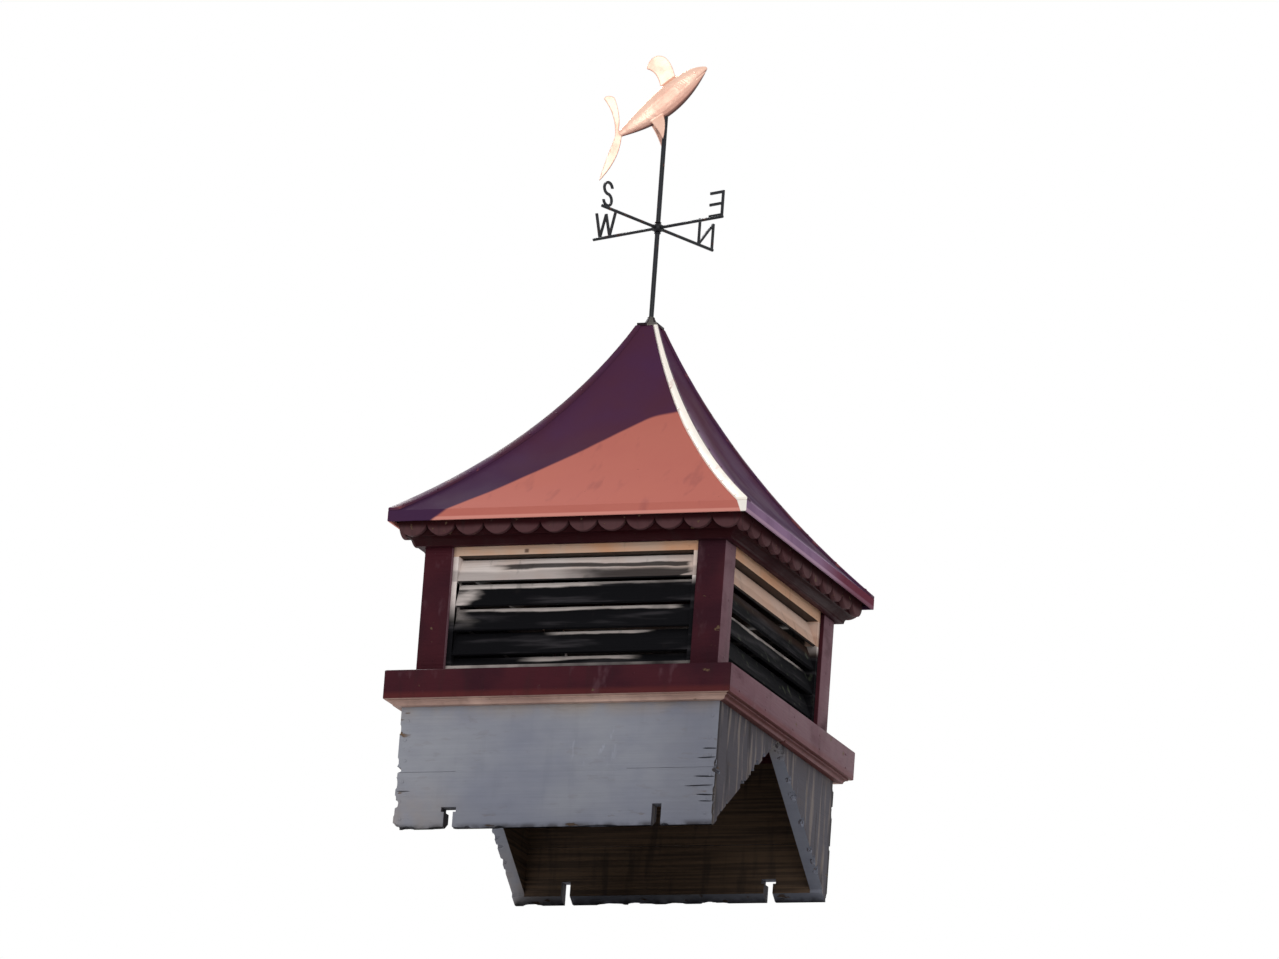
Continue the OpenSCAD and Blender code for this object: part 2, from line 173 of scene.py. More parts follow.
class CupolaColours(bpy.types.PropertyGroup):
    """Colours of the cupola's finishes."""

    board_grey: colour_setting("Board grey", "Weathered paint on the base boards", 134, 137, 150)
    board_pale: colour_setting("Board pale", "Paler patches on the base boards", 149, 151, 159)
    board_beige: colour_setting("Board beige", "Warm tint under the sill", 163, 148, 132)
    raw_wood: colour_setting("Raw wood", "Wood where no paint is left", 104, 84, 66)
    grime: colour_setting("Grime", "Dark dirt in cracks and runs", 38, 33, 33)
    trim_red: colour_setting("Trim red", "Barn red of the sill, posts and cornice", 67, 27, 35)
    trim_deep: colour_setting("Trim deep", "Darker patches in the barn red", 53, 24, 33)
    # Paler mauve on the right-facing trim faces and in the paler patches.
    trim_mauve: colour_setting("Trim faded", "Mauve of the faded red faces", 122, 92, 100)
    cove_brown: colour_setting("Cove brown", "Dull brown of the cove under the sill", 200, 170, 156)
    louver_cream: colour_setting("Louver cream", "Clean paint on the louvers' top strips", 210, 180, 158)
    louver_chalk: colour_setting("Louver chalk", "Chalky paint on the slats", 236, 224, 218)
    # Also used for the painted warm glow on the side louvers' top strip and first slat.
    louver_stain_and_warm_light: colour_setting("Louver tan", "Warm stain on the louvers", 216, 162, 126)
    # Also used for the painted shade in the louvers' recesses and on their inner, downward and upward faces.
    mildew: colour_setting("Mildew", "Growth on the lower slats", 15, 15, 18)
    lichen: colour_setting("Lichen", "Greenish specks in the mildew", 84, 90, 74)
    lobe_rose: colour_setting("Lobe rose", "Paint on the scalloped trim", 88, 60, 62)
    # Roof coral is the paint as it looks in light. Roof maroon and plum stand for it in painted shade, on the
    # roof and three hip caps; the maroon also tints faint smudges.
    roof_coral: colour_setting("Roof coral", "Faded paint on the roof metal", 193, 112, 100)
    roof_shade_and_smudge: colour_setting("Roof maroon", "Deeper paint high on the roof", 84, 47, 65)
    roof_shade_plum: colour_setting("Roof plum", "Purple cast in the deeper paint", 80, 47, 77)
    # Painted sky reflection on the right roof panel.
    roof_sky_reflection: colour_setting("Roof mauve", "Chalky paint low on the right panel", 152, 122, 152)
    # Painted highlight on the front right hip cap.
    hip_highlight: colour_setting("Hip pale", "Worn metal of the front right hip", 255, 248, 238)
    iron: colour_setting("Iron", "Black paint on the rod and arms", 18, 20, 24)
    rust: colour_setting("Rust", "Rust on the iron", 92, 50, 32)
    copper: colour_setting("Copper", "Polished copper of the shark", 242, 203, 182)
    # Tarnish, and the painted shade on the shark's underside.
    copper_tarnish_and_shade: colour_setting("Copper dark", "Tarnish on the copper", 204, 138, 124)


class CupolaSizes(bpy.types.PropertyGroup):
    """Sizes of the cupola's small pieces."""

    nail_head: length_setting("Nail head", "Diameter of the nail heads in the boards", 0.006)
    brad_head: length_setting("Brad head", "Diameter of the small nail heads in the trim", 0.0045)
    rivet_head: length_setting("Rivet head", "Diameter of the rivets in the hip caps", 0.0045)
    rivet_gap: length_setting("Rivet spacing", "Distance between two rivets in a hip cap", 0.062)
    trim_edge: length_setting("Trim edge", "Rounding of the edges of the painted trim", 0.0016)
    metal_edge: length_setting("Metal edge", "Rounding of the edges of the roof metal", 0.0008)
    hem: length_setting("Hem", "Diameter of the roll along the drip edge", 0.006)
    eye: length_setting("Eye", "Diameter of the shark's eyes", 0.0075)
    skin_cell: length_setting("Skin cell", "Size of a cell of the shark's skin", 0.0012)


class CupolaStage(bpy.types.PropertyGroup):
    """Camera and lights around the cupola."""

    azimuth: angle_setting("Azimuth", "Turn of the camera to the right of the front", 21.71)
    elevation: angle_setting("Elevation", "Height of the camera over the object, as an angle", -15.15)
    roll: angle_setting("Roll", "Turn of the camera about its own line of sight", 4.15)
    distance: length_setting("Distance", "Distance of the camera from the object", 16.70)
    lens: FloatProperty(
        name="Lens", description="Focal length of the camera", default=252.0,
        min=1.0, subtype="DISTANCE_CAMERA", unit="CAMERA")
    key_power: power_setting("Key light", "Power of the high light behind the left", 120.0)
    fill_power: power_setting("Fill light", "Power of the broad light in front", 310.0)
    sky_level: FloatProperty(
        name="Sky level", description="Strength of the light from all around", default=0.55,
        min=0.0, subtype="FACTOR")


def colours():
    """The colours in use."""
    return bpy.context.scene.cupola_colours


def sizes():
    """The sizes in use."""
    return bpy.context.scene.cupola_sizes


# Selecting and editing

MERGE_COPY = 0.02 * MM
HEAD_SPIN = 0.7
DOME_STEPS = (
    # Inset as a share of a head's diameter, and rise as a share of its height
    (0.16, 0.35),
    (0.14, 0.15),
)


def pick_nothing():
    """Leaves edit mode and deselects everything."""
    if bpy.context.object and bpy.context.object.mode != "OBJECT":
        bpy.ops.object.mode_set(mode="OBJECT")
    bpy.ops.object.select_all(action="DESELECT")


def pick(*pieces):
    """Selects these pieces alone, with the first one active."""
    pick_nothing()
    for piece in pieces:
        piece.select_set(True)
    bpy.context.view_layer.objects.active = pieces[0]


def open_mesh(piece, chosen=False):
    """Opens a piece for editing, with all of it chosen or nothing."""
    pick(piece)
    bpy.ops.object.mode_set(mode="EDIT")
    bpy.ops.mesh.select_mode(type="FACE")
    bpy.ops.mesh.select_all(action="SELECT" if chosen else "DESELECT")


def close_mesh():
    """Ends editing."""
    bpy.ops.object.mode_set(mode="OBJECT")


def choose_faces(piece, test):
    """Selects the faces of the open piece that pass a test."""
    mesh = bmesh.from_edit_mesh(piece.data)
    for face in mesh.faces:
        face.select_set(bool(test(face)))
    bmesh.update_edit_mesh(piece.data)


def roughen(offset, seed):
    """Moves the corners of the open piece about at random, and ends editing."""
    bpy.ops.mesh.select_mode(type="VERT")
    bpy.ops.mesh.select_all(action="SELECT")
    bpy.ops.transform.vertex_random(offset=offset, seed=seed)
    close_mesh()


def seat(piece, name=None):
    """Applies a piece's place, turn and scale, and names it."""
    pick(piece)
    bpy.ops.object.transform_apply(location=True, rotation=True, scale=True)
    if name:
        piece.name = name
        piece.data.name = name
    return piece


def apply_modifier(piece, kind, **settings):
    """Adds a modifier with these settings and applies it."""
    pick(piece)
    modifier = piece.modifiers.new(kind.title(), kind)
    for setting, value in settings.items():
        setattr(modifier, setting, value)
    bpy.ops.object.modifier_apply(modifier=modifier.name)


def bevel(piece, width, segments=2, angle=30):
    """Rounds the sharp edges of a piece."""
    apply_modifier(
        piece, "BEVEL", width=width, segments=segments, limit_method="ANGLE",
        angle_limit=math.radians(angle), harden_normals=False)


def weld(piece, distance):
    """Merges points that a cut or a bevel has left on top of each other, and drops any flap beside them."""
    open_mesh(piece, chosen=True)
    bpy.ops.mesh.remove_doubles(threshold=distance)
    choose_faces(piece, lambda face: any(edge.is_boundary for edge in face.edges))
    bpy.ops.mesh.delete(type="FACE")
    close_mesh()


def smooth(piece, angle):
    """Shades a piece smooth up to an angle."""
    pick(piece)
    bpy.ops.object.shade_smooth_by_angle(angle=math.radians(angle))


def join(pieces, name):
    """Joins pieces into one mesh."""
    pick(*pieces)
    if len(pieces) > 1:
        bpy.ops.object.join()
    return seat(bpy.context.object, name)


def copy_node(node, name, flat=0.2):
    """Copies a CAD node's mesh as one closed surface, ready to be worked on."""
    mesh = CAD_NODES[node].data.copy()
    mesh.materials.clear()
    piece = bpy.data.objects.new(name, mesh)
    mesh.name = name
    bpy.context.scene.collection.objects.link(piece)
    open_mesh(piece, chosen=True)
    bpy.ops.mesh.remove_doubles(threshold=MERGE_COPY)
    bpy.ops.mesh.dissolve_limited(angle_limit=math.radians(flat))
    bpy.ops.mesh.normals_make_consistent(inside=False)
    close_mesh()
    return piece


def settle(piece, finish, body="root", nodes=()):
    """Gives a finished piece its material, the slot of that name, its body and the nodes it stands for."""
    piece.data.materials.clear()
    piece.data.materials.append(bpy.data.materials[finish])
    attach(piece, body)
    if nodes:
        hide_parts(*nodes)


def rounded_copy(node, name, finish, width, segments=2, angle=30, flat=0.2, shading=40):
    """A CAD node with its sharp edges worn round, in place of the node."""
    piece = copy_node(node, name, flat)
    bevel(piece, width, segments, angle)
    smooth(piece, shading)
    settle(piece, finish, nodes=(node,))


def quarter(turns, point):
    """Turns a point of the front side by quarter turns about the middle of the cupola."""
    for _ in range(turns % 4):
        point = Vector((-point[1], point[0], point[2]))
    return Vector(point)


def stand(point, direction):
    """The matrix that takes a shape made along Z to a point and a direction."""
    turn = Vector(direction).to_track_quat("Z", "Y").to_matrix().to_4x4()
    return Matrix.Translation(Vector(point)) @ turn


def head(name, diameter, height, sides=10):
    """A low domed head, made once and copied to each place, pointing along Z."""
    bpy.ops.mesh.primitive_cylinder_add(vertices=sides, radius=diameter / 2, depth=height)
    piece = bpy.context.object
    piece.name = name
    open_mesh(piece)
    choose_faces(piece, lambda face: face.normal.z > 0.9)
    for inset, rise in DOME_STEPS:
        bpy.ops.mesh.inset(thickness=diameter * inset)
        bpy.ops.transform.translate(value=(0, 0, height * rise))
    close_mesh()
    return piece


def strew(template, spots, name):
    """Copies a template to each spot, a point with the direction that its Z turns to, as one piece."""
    made = []
    for number, (point, direction) in enumerate(spots):
        copy = bpy.data.objects.new(name, template.data.copy())
        copy.data.transform(stand(point, direction) @ Matrix.Rotation(number * HEAD_SPIN, 4, "Z"))
        bpy.context.scene.collection.objects.link(copy)
        made.append(copy)
    bpy.data.objects.remove(template)
    return join(made, name)


# Patterns

MIX_FIRST = 6
MIX_SECOND = 7
MIX_RESULT = 2


def feed(socket, value):
    """Links a socket to a pattern, or sets its number, direction or colour."""
    if isinstance(value, Field):
        value = value.socket
    if isinstance(value, bpy.types.NodeSocket):
        socket.id_data.links.new(value, socket)
    elif isinstance(value, (int, float)):
        socket.default_value = value
    else:
        value = tuple(value)
        socket.default_value = value + (1.0,) * (len(socket.default_value) - len(value))


def add_node(tree, kind, feeds=(), **settings):
    """Adds a shader node with these settings, and feeds its numbered or named inputs."""
    node = tree.nodes.new("ShaderNode" + kind)
    for setting, value in settings.items():
        setattr(node, setting, value)
    for key, value in dict(feeds).items():
        feed(node.inputs[key], value)
    return node


class Field:
    """A number or colour that varies over the surface, so that a pattern is written as a plain sum."""

    def __init__(self, socket):
        self.socket = socket

    def work(self, operation, first, second=0.0, clamp=False):
        """One step of arithmetic."""
        feeds = {0: first, 1: second}
        step = add_node(self.socket.id_data, "Math", feeds, operation=operation, use_clamp=clamp)
        return Field(step.outputs[0])

    def __add__(self, other):
        return self.work("ADD", self, other)

    def __sub__(self, other):
        return self.work("SUBTRACT", self, other)

    def __rsub__(self, other):
        return self.work("SUBTRACT", other, self)

    def __mul__(self, other):
        return self.work("MULTIPLY", self, other)

    def __truediv__(self, other):
        return self.work("DIVIDE", self, other)

    def __abs__(self):
        return self.work("ABSOLUTE", self)

    def __gt__(self, other):
        return self.work("GREATER_THAN", self, other)

    def __lt__(self, other):
        return self.work("LESS_THAN", self, other)

    __rmul__ = __mul__

    def sign(self):
        """Minus one, nothing or one."""
        return self.work("SIGN", self)

    def either(self, other):
        """The greater of two shares."""
        return self.work("MAXIMUM", self, other)

    def plus(self, other):
        """The sum of two shares, up to one."""
        return self.work("ADD", self, other, clamp=True)

    def ramp(self, low, high, out_low=0.0, out_high=1.0):
        """Stretches the part from low to high over 0 to 1, with soft ends."""
        feeds = {"Value": self, "From Min": low, "From Max": high, "To Min": out_low, "To Max": out_high}
        step = add_node(self.socket.id_data, "MapRange", feeds, interpolation_type="SMOOTHSTEP")
        return Field(step.outputs[0])

    def over(self, level, low, high, *outs):
        """The ramp between two places over a level, in millimetres."""
        return self.ramp(level + low * MM, level + high * MM, *outs)

    def between(self, low, high):
        """Spreads a share over the numbers from low to high."""
        return self.ramp(0.0, 1.0, low, high)

    def mix(self, first, second):
        """Blends two colours by this share of the second."""
        feeds = {0: self, MIX_FIRST: first, MIX_SECOND: second}
        return Field(add_node(self.socket.id_data, "Mix", feeds, data_type="RGBA").outputs[MIX_RESULT])

    def lay(self, colour, share):
        """Lays a share of another colour over this one."""
        return share.mix(self, colour)


class Recipe:
    """One procedural finish: a material, its shader and the places and directions that patterns follow."""

    def __init__(self, name, roughness, specular=0.5):
        old = bpy.data.materials.get(name)
        if old:
            old.name = name + "_plain"
        self.material = bpy.data.materials.new(name)
        self.material.use_nodes = True
        self.tree = self.material.node_tree
        self.shader = self.tree.nodes["Principled BSDF"]
        feed(self.shader.inputs["Roughness"], roughness)
        feed(self.shader.inputs["Specular IOR Level"], specular)
        spot = add_node(self.tree, "TexCoord").outputs
        self.place = spot["Object"]
        self.normal = spot["Normal"]
        self.x, self.y, self.z = self.split(self.place)
        self.facing_x, self.facing_y, self.facing_z = self.split(self.normal)
        self.far_x = abs(self.x)
        self.far_y = abs(self.y)
        self.reach = self.far_x.either(self.far_y)
        self.broad = self.far_y > self.far_x
        self.ends = 1.0 - self.broad
        self.right = self.x > self.far_y
        self.front = self.y < 0.0
        self.front_right = (self.x > 0.0) * self.front

    def split(self, direction):
        """The three parts of a place or direction."""
        return [Field(part) for part in add_node(self.tree, "SeparateXYZ", {0: direction}).outputs]

    def by_side(self, on_broad, on_ends):
        """One value on the front and back, and another on the right and left."""
        return on_broad * self.broad + on_ends * self.ends

    def outward(self):
        """Share by which the surface faces away from the cupola's middle, square to its side."""
        return self.by_side(self.facing_y * self.y.sign(), self.facing_x * self.x.sign())

    def facing_along(self, direction):
        """Share by which the surface faces in a direction."""
        feeds = {0: self.normal, 1: direction}
        return Field(add_node(self.tree, "VectorMath", feeds, operation="DOT_PRODUCT").outputs["Value"])

    def cloud(self, scale, low=0.4, high=0.6, stretch=(1, 1, 1), detail=4, shift=(0, 0, 0)):
        """Cloudy noise, drawn out along the axes where stretch is small."""
        place = add_node(self.tree, "Mapping", {"Vector": self.place, "Scale": stretch, "Location": shift})
        feeds = {"Vector": place.outputs[0], "Scale": scale, "Detail": detail}
        return Field(add_node(self.tree, "TexNoise", feeds).outputs[0]).ramp(low, high)

    def coat(self, colour, roughness, metallic=0.0):
        """Feeds the colour, the roughness and the share of metal to the shader."""
        feed(self.shader.inputs["Base Color"], colour)
        feed(self.shader.inputs["Roughness"], roughness)
        feed(self.shader.inputs["Metallic"], metallic)

    def relief(self, height, distance, strength=1.0):
        """Feeds a bump pattern to the shader."""
        feeds = {"Strength": strength, "Distance": distance, "Height": height}
        feed(self.shader.inputs["Normal"], add_node(self.tree, "Bump", feeds).outputs[0])


# Finishes

BLOTCH_GREY = shade(112, 115, 130)
FLECK_GREY = shade(172, 176, 194)
RIGHT_END_SHADE = shade(100, 102, 116)
SIDE_WALL_SHADE = shade(70, 64, 69)
SCRUBBED_GREY = shade(146, 134, 126)
OLD_WOOD = shade(72, 58, 48)
FOOT_RED = shade(112, 52, 46)
CORNICE_SHADE = shade(38, 9, 11)
DULL_CHALK = shade(122, 112, 110)
MOULD_BROWN = shade(74, 54, 44)
MOULD_GREY = shade(88, 84, 88)
KNOT_BROWN = shade(72, 42, 32)
LOBE_SHADOW = shade(44, 13, 15)
PALE_CORAL = shade(204, 128, 112)
LOW_SHADE_PLUM = shade(60, 42, 70)
DRIP_RED = shade(112, 48, 58)
HEM_HIGHLIGHT_CORAL = shade(222, 150, 138)
HEM_HIGHLIGHT_MAUVE = shade(182, 150, 170)
UNDERSIDE_SHADE = shade(30, 17, 19)
WOOD_RING = shade(142, 116, 88)
IRON_GREY = shade(44, 46, 54)
BELLY_SHADE_BROWN = shade(58, 28, 30)

FLECKS_X = 0.07
FLECKS_Z = 0.155
KNOT_LEFT = 0.097
KNOT_UP = 10 * MM
SOFT_END = 0.02
# Height of the painted shadow's slanting line.
SHADOW_LINE = EAVE_Z + 170 * MM
SLAT_PAINT = (
    # Slat counted from the top, the length along it that keeps its paint, the paint's height under the
    # slat's upper edge in millimetres, and the shares of it on the broad sides and on the ends
    (1, -0.26, 0.04, 9, 0.95, 0.0),
    (1, 0.02, 0.26, 6, 0.6, 0.0),
    (2, -0.21, 0.20, 7, 0.9, 0.85),
    (3, -0.04, 0.16, 7, 0.85, 0.0),
    (4, -0.10, 0.11, 8, 0.85, 0.0),
)


def mix_board_finish():
    """Grey paint on old boards: faint grain, chips down to raw wood, dirt in the corners and runs, and
    painted shade on the side walls, at the corner gaps and at the front's right end.
    """
    paint, look = Recipe("weathered_boards", roughness=0.85, specular=0.25), colours()
    patches = paint.cloud(5, 0.34, 0.7, (1, 1, 1.3), 3)
    grain = paint.cloud(5, 0.36, 0.66, (1, 1, 46), 5)
    runs = paint.cloud(9, 0.52, 0.72, (5, 5, 0.7))
    side = abs(paint.facing_x).ramp(0.4, 0.8)
    nearer = paint.far_x.work("MINIMUM", paint.far_x, paint.far_y)
    flat = patches.mix(look.board_grey, look.board_pale)
    blotches = paint.cloud(22, 0.36, 0.7, (1, 1, 1.6), shift=(3, 2, 6))
    flat = flat.lay(BLOTCH_GREY, blotches * 0.16)
    flecks = (
        paint.cloud(70, 0.58, 0.68, (1.4, 1.4, 0.4), shift=(2, 2, 9))
        * abs(paint.x - FLECKS_X).ramp(0.06, 0.02) * abs(paint.z - FLECKS_Z).ramp(0.05, 0.02))
    flat = flat.lay(FLECK_GREY, flecks * 0.5)
    warm_top = paint.z.ramp(BASE_TOP - 70 * MM, SILL_LOW + 5 * MM)
    warm_corner = paint.x.ramp(-0.13, -BASE_HALF) * paint.z.ramp(0.115, 0.02) * 0.6
    warm = warm_top.either(warm_corner) * paint.cloud(16, 0.28, 0.66, detail=3) * 0.8
    flat = flat.lay(look.board_beige, warm)
    # Painted shade: the front boards darken towards their right end.
    flat = flat.lay(RIGHT_END_SHADE, paint.x.ramp(0.15, 0.27) * paint.front * 0.4)
    # Painted shade: the side walls, which face X, are darkened all over.
    flat = flat.lay(SIDE_WALL_SHADE, side * 0.85)
    flat = flat.lay(look.grime, runs * (side * 0.65 + 0.05))
    scrubbed = paint.cloud(12, 0.54, 0.68, (6, 6, 0.6), shift=(3, 8, 2))
    flat = flat.lay(SCRUBBED_GREY, scrubbed * side * 0.55)
    flat = flat.lay(look.grime, grain * 0.045)
    low_edge = paint.z.ramp(0.03, 0.0)
    end_edge = nearer.over(BASE_HALF, -30, 0)
    bare = paint.cloud(24, 0.62, 0.67, (1, 1, 3.2), 6) * low_edge.either(end_edge).plus(0.1)
    flat = flat.lay(look.raw_wood, bare)
    foot = paint.z.ramp(0.012, 0.0) * paint.cloud(30, 0.3, 0.6)
    # Near the corners of the side walls: dirt, with the painted shade of the gap at each corner.
    corner = (
        nearer.over(BASE_HALF, -13, -3) * side
        * paint.cloud(20, 0.2, 0.5, (1, 1, 0.7), shift=(7, 1, 3)))
    flat = flat.lay(look.grime, foot.either(corner) * 0.8)
    old_wood = grain.mix(look.raw_wood, OLD_WOOD).lay(look.grime, runs * 0.5)
    inside = paint.reach < BASE_HALF - BOARD_T + 0.4 * MM
    paint.coat(inside.mix(flat, old_wood), patches.between(0.78, 0.92))
    paint.relief(grain * 0.13 + bare * -0.8, 1.2 * MM)


def mix_trim_finish():
    """Red paint on trim: brown-red fronts, paler mauve on the right-facing sides, a paler cove, painted shade
    on the cornice and the right cove, rain streaks and worn corners.
    """
    paint, look = Recipe("red_paint", roughness=0.6, specular=0.06), colours()
    patches = paint.cloud(8, 0.38, 0.66)
    flat = patches.mix(look.trim_red, look.trim_deep)
    # The faces turned to the right are laid over with paler mauve below the cornice.
    faded = paint.facing_x.ramp(0.5, 0.9) * paint.z.over(POST_TOP, -16, -20)
    flat = flat.lay(look.trim_mauve, faded * paint.cloud(13, 0.1, 0.5, (1, 1, 1.6), 3) * 0.9)
    # On the right side the cove keeps its dark red: painted shade under the sill.
    soffit = (
        paint.z.over(SILL_LOW, 1.2, 0.2)
        * patches.between(0.7, 0.95) * (1.0 - paint.right * 0.85))
    flat = flat.lay(look.cove_brown, soffit)
    foot = paint.z.over(SILL_LOW, 16, 6) * (1.0 - soffit) * 0.35
    flat = flat.lay(FOOT_RED, foot)
    # Painted shade: the cornice up under the eave is darkened, and the paler patches are kept off it.
    cornice = paint.z.over(POST_TOP, -19, -17)
    flat = flat.lay(CORNICE_SHADE, cornice * 0.9)
    flat = flat.lay(look.grime, paint.cloud(11, 0.5, 0.72, (4, 4, 0.8)) * 0.2)
    pale = paint.cloud(17, 0.6, 0.74, (2, 2, 1), 3, (3, 1, 2))
    flat = flat.lay(look.trim_mauve, pale * (1.0 - cornice) * 0.22)
    chips = paint.cloud(42, 0.69, 0.72, (1, 1, 1.4), 6)
    flat = flat.lay(look.raw_wood, chips * 0.8)
    paint.coat(flat, patches.between(0.5, 0.72))
    paint.relief(paint.cloud(7, 0.4, 0.62, (3, 3, 30), 3) * 0.35 + chips * -0.9, 0.8 * MM)


def slat_paint(paint, first, drop, fall, wavy):
    """Share of the louvers' paint that is left, whole on the first slat and in lines on the others."""
    streak = (
        fall.over(0, 12, 15) * fall.over(0, 25, 21)
        * wavy.ramp(-0.17, -0.12) * wavy.ramp(0.218, 0.206)
        * paint.cloud(8, 0.3, 0.5, (0.7, 0.7, 3.0), shift=(6, 2, 2)) * paint.broad * 0.9)
    worn_end = (
        fall.over(0, 20, 32) * wavy.ramp(-0.04, 0.06) * wavy.ramp(0.222, 0.21)
        * paint.broad * 0.88)
    kept = first * (1.0 - streak.either(worn_end))
    uneven = paint.cloud(7, 0.3, 0.58, (1, 1, 0.3), shift=(4, 6, 1)).between(0.45, 1.0)
    for number, low_end, high_end, height, on_broad, on_ends in SLAT_PAINT:
        upper = number * SLAT_PITCH
        kept = kept.either(
            drop.over(upper, -1.5, -0.5)
            * fall.ramp(upper + (height + 2) * MM, upper + (height - 2) * MM)
            * wavy.ramp(low_end - SOFT_END, low_end + SOFT_END)
            * wavy.ramp(high_end + SOFT_END, high_end - SOFT_END)
            * paint.by_side(on_broad, on_ends) * uneven)
    dry_end = (
        wavy.ramp(-0.185, -0.225) * fall.ramp(SLAT_PITCH * 3.0, SLAT_PITCH * 1.6) * paint.broad
        * paint.cloud(26, 0.3, 0.62, (0.4, 0.4, 2.6), shift=(3, 3, 5)) * 0.8)
    return kept.either(dry_end)


def mix_louver_finish():
    """Cream paint on the louvers: whole on the top slat, black with mildew below, pale under each lap, with
    painted shade in the recesses and a painted warm glow on the side tops.
    """
    paint, look = Recipe("louver_paint", roughness=0.75, specular=0.1), colours()
    along = paint.by_side(paint.x, paint.y)
    ragged = paint.cloud(14, 0.2, 0.8, (0.6, 0.6, 2.2), 6)
    wander = ragged - 0.5
    wavy = along + wander * 0.05
    drop = SLAT_TOP - paint.z
    fall = drop + wander * 0.006
    stain = paint.cloud(9, 0.4, 0.68, (1, 1, 1.5))
    cream = stain.mix(look.louver_cream, look.louver_stain_and_warm_light)
    chalk = (stain * 0.3).mix(look.louver_chalk, look.louver_stain_and_warm_light)
    chalk = chalk.lay(DULL_CHALK, fall.over(0, 23, 30, 0.0, 0.5))
    chalk = chalk.lay(look.louver_chalk, drop.over(SLAT_PITCH, -2, -1))
    below = drop.over(0, -2.5, -1.5)
    flat = below.mix(cream, chalk)
    first = drop.over(SLAT_PITCH, -1, -2)
    # Painted light: a warm glow of bounced light on the top strip and first slat of the right and left
    # louvers.
    flat = flat.lay(look.louver_stain_and_warm_light, paint.ends * first * 0.5)
    kept = slat_paint(paint, first, drop, fall, wavy)
    stile = abs(along).ramp(LOUVER_HALF - STILE - 0.5 * MM, LOUVER_HALF - STILE + 0.5 * MM)
    left_stile = (along < 0.0) * fall.ramp(SLAT_PITCH * 2.8, SLAT_PITCH * 1.4)
    stile_paint = stile * left_stile.either(fall.ramp(SLAT_PITCH * 1.4, SLAT_PITCH * 0.9))
    kept = kept * (1.0 - stile) + stile_paint
    low_clean = (
        paint.z.over(BOTTOM_STRIP, 0.6, -0.6)
        * wavy.ramp(-0.06, -0.16, 0.3, 0.65) * paint.cloud(8, 0.3, 0.6, (1, 1, 0.5), shift=(2, 7, 4)))
    kept = kept.either(low_clean)
    growth = (1.0 - kept * ragged.ramp(0.0, 0.3, 0.9, 1.0)) * below
    specks = paint.cloud(46, 0.6, 0.72, detail=5, shift=(8, 3, 1))
    mould = (specks * paint.ends * 0.5).mix(look.mildew, look.lichen)
    mould = mould.lay(MOULD_BROWN, paint.ends * fall.over(SLAT_PITCH, 26, 8) * 0.5)
    faint = paint.cloud(20, 0.5, 0.72, (0.3, 0.3, 3.0), shift=(9, 1, 4))
    mould = mould.lay(MOULD_GREY, faint * 0.35)
    flat = flat.lay(mould, growth)
    flat = flat.lay(look.grime, paint.cloud(16, 0.6, 0.74, (3, 3, 0.6), shift=(1, 4, 9)) * 0.3)
    knot = (
        abs(paint.x + KNOT_LEFT).over(0, 6, 2) * abs(drop + KNOT_UP).over(0, 5, 2)
        * paint.front * 0.8)
    flat = flat.lay(KNOT_BROWN, knot)
    # Painted shade: the inner faces, the recessed backs of the slats and the faces that point down or up get
    # the mildew colour.
    deep = paint.reach.over(LOUVER_FACE, -21, -27)
    edges = paint.facing_z.ramp(-0.45, -0.7).either(paint.facing_z.ramp(0.6, 0.8))
    painted_shade = paint.outward().ramp(-0.2, -0.5).either((deep * below).either(edges))
    flat = flat.lay(look.mildew, painted_shade * 0.93)
    paint.coat(flat, growth.between(0.62, 0.95))
    paint.relief(paint.cloud(6, 0.36, 0.64, (1.2, 1.2, 36)) * 0.4 + growth * ragged * 0.6, 0.8 * MM)


def mix_scallop_finish():
    """Rose-grey lobes that turn to dark red up under the drip edge, a painted shadow."""
    paint, look = Recipe("scallop_paint", roughness=0.7, specular=0.06), colours()
    patches = paint.cloud(10, 0.36, 0.66)
    streaks = paint.cloud(20, 0.52, 0.7, (3, 3, 0.8))
    chips = paint.cloud(60, 0.66, 0.69, detail=6)
    tips = (paint.z + patches * 0.004).over(TRIM_LOW, 23, 13)
    flat = tips.mix(LOBE_SHADOW, look.lobe_rose).lay(look.trim_red, patches * 0.25)
    flat = flat.lay(look.grime, streaks * 0.3).lay(look.raw_wood, chips * 0.7)
    paint.coat(flat, patches.between(0.58, 0.78))
    paint.relief(streaks * 0.4 + chips * -0.7, 0.6 * MM)


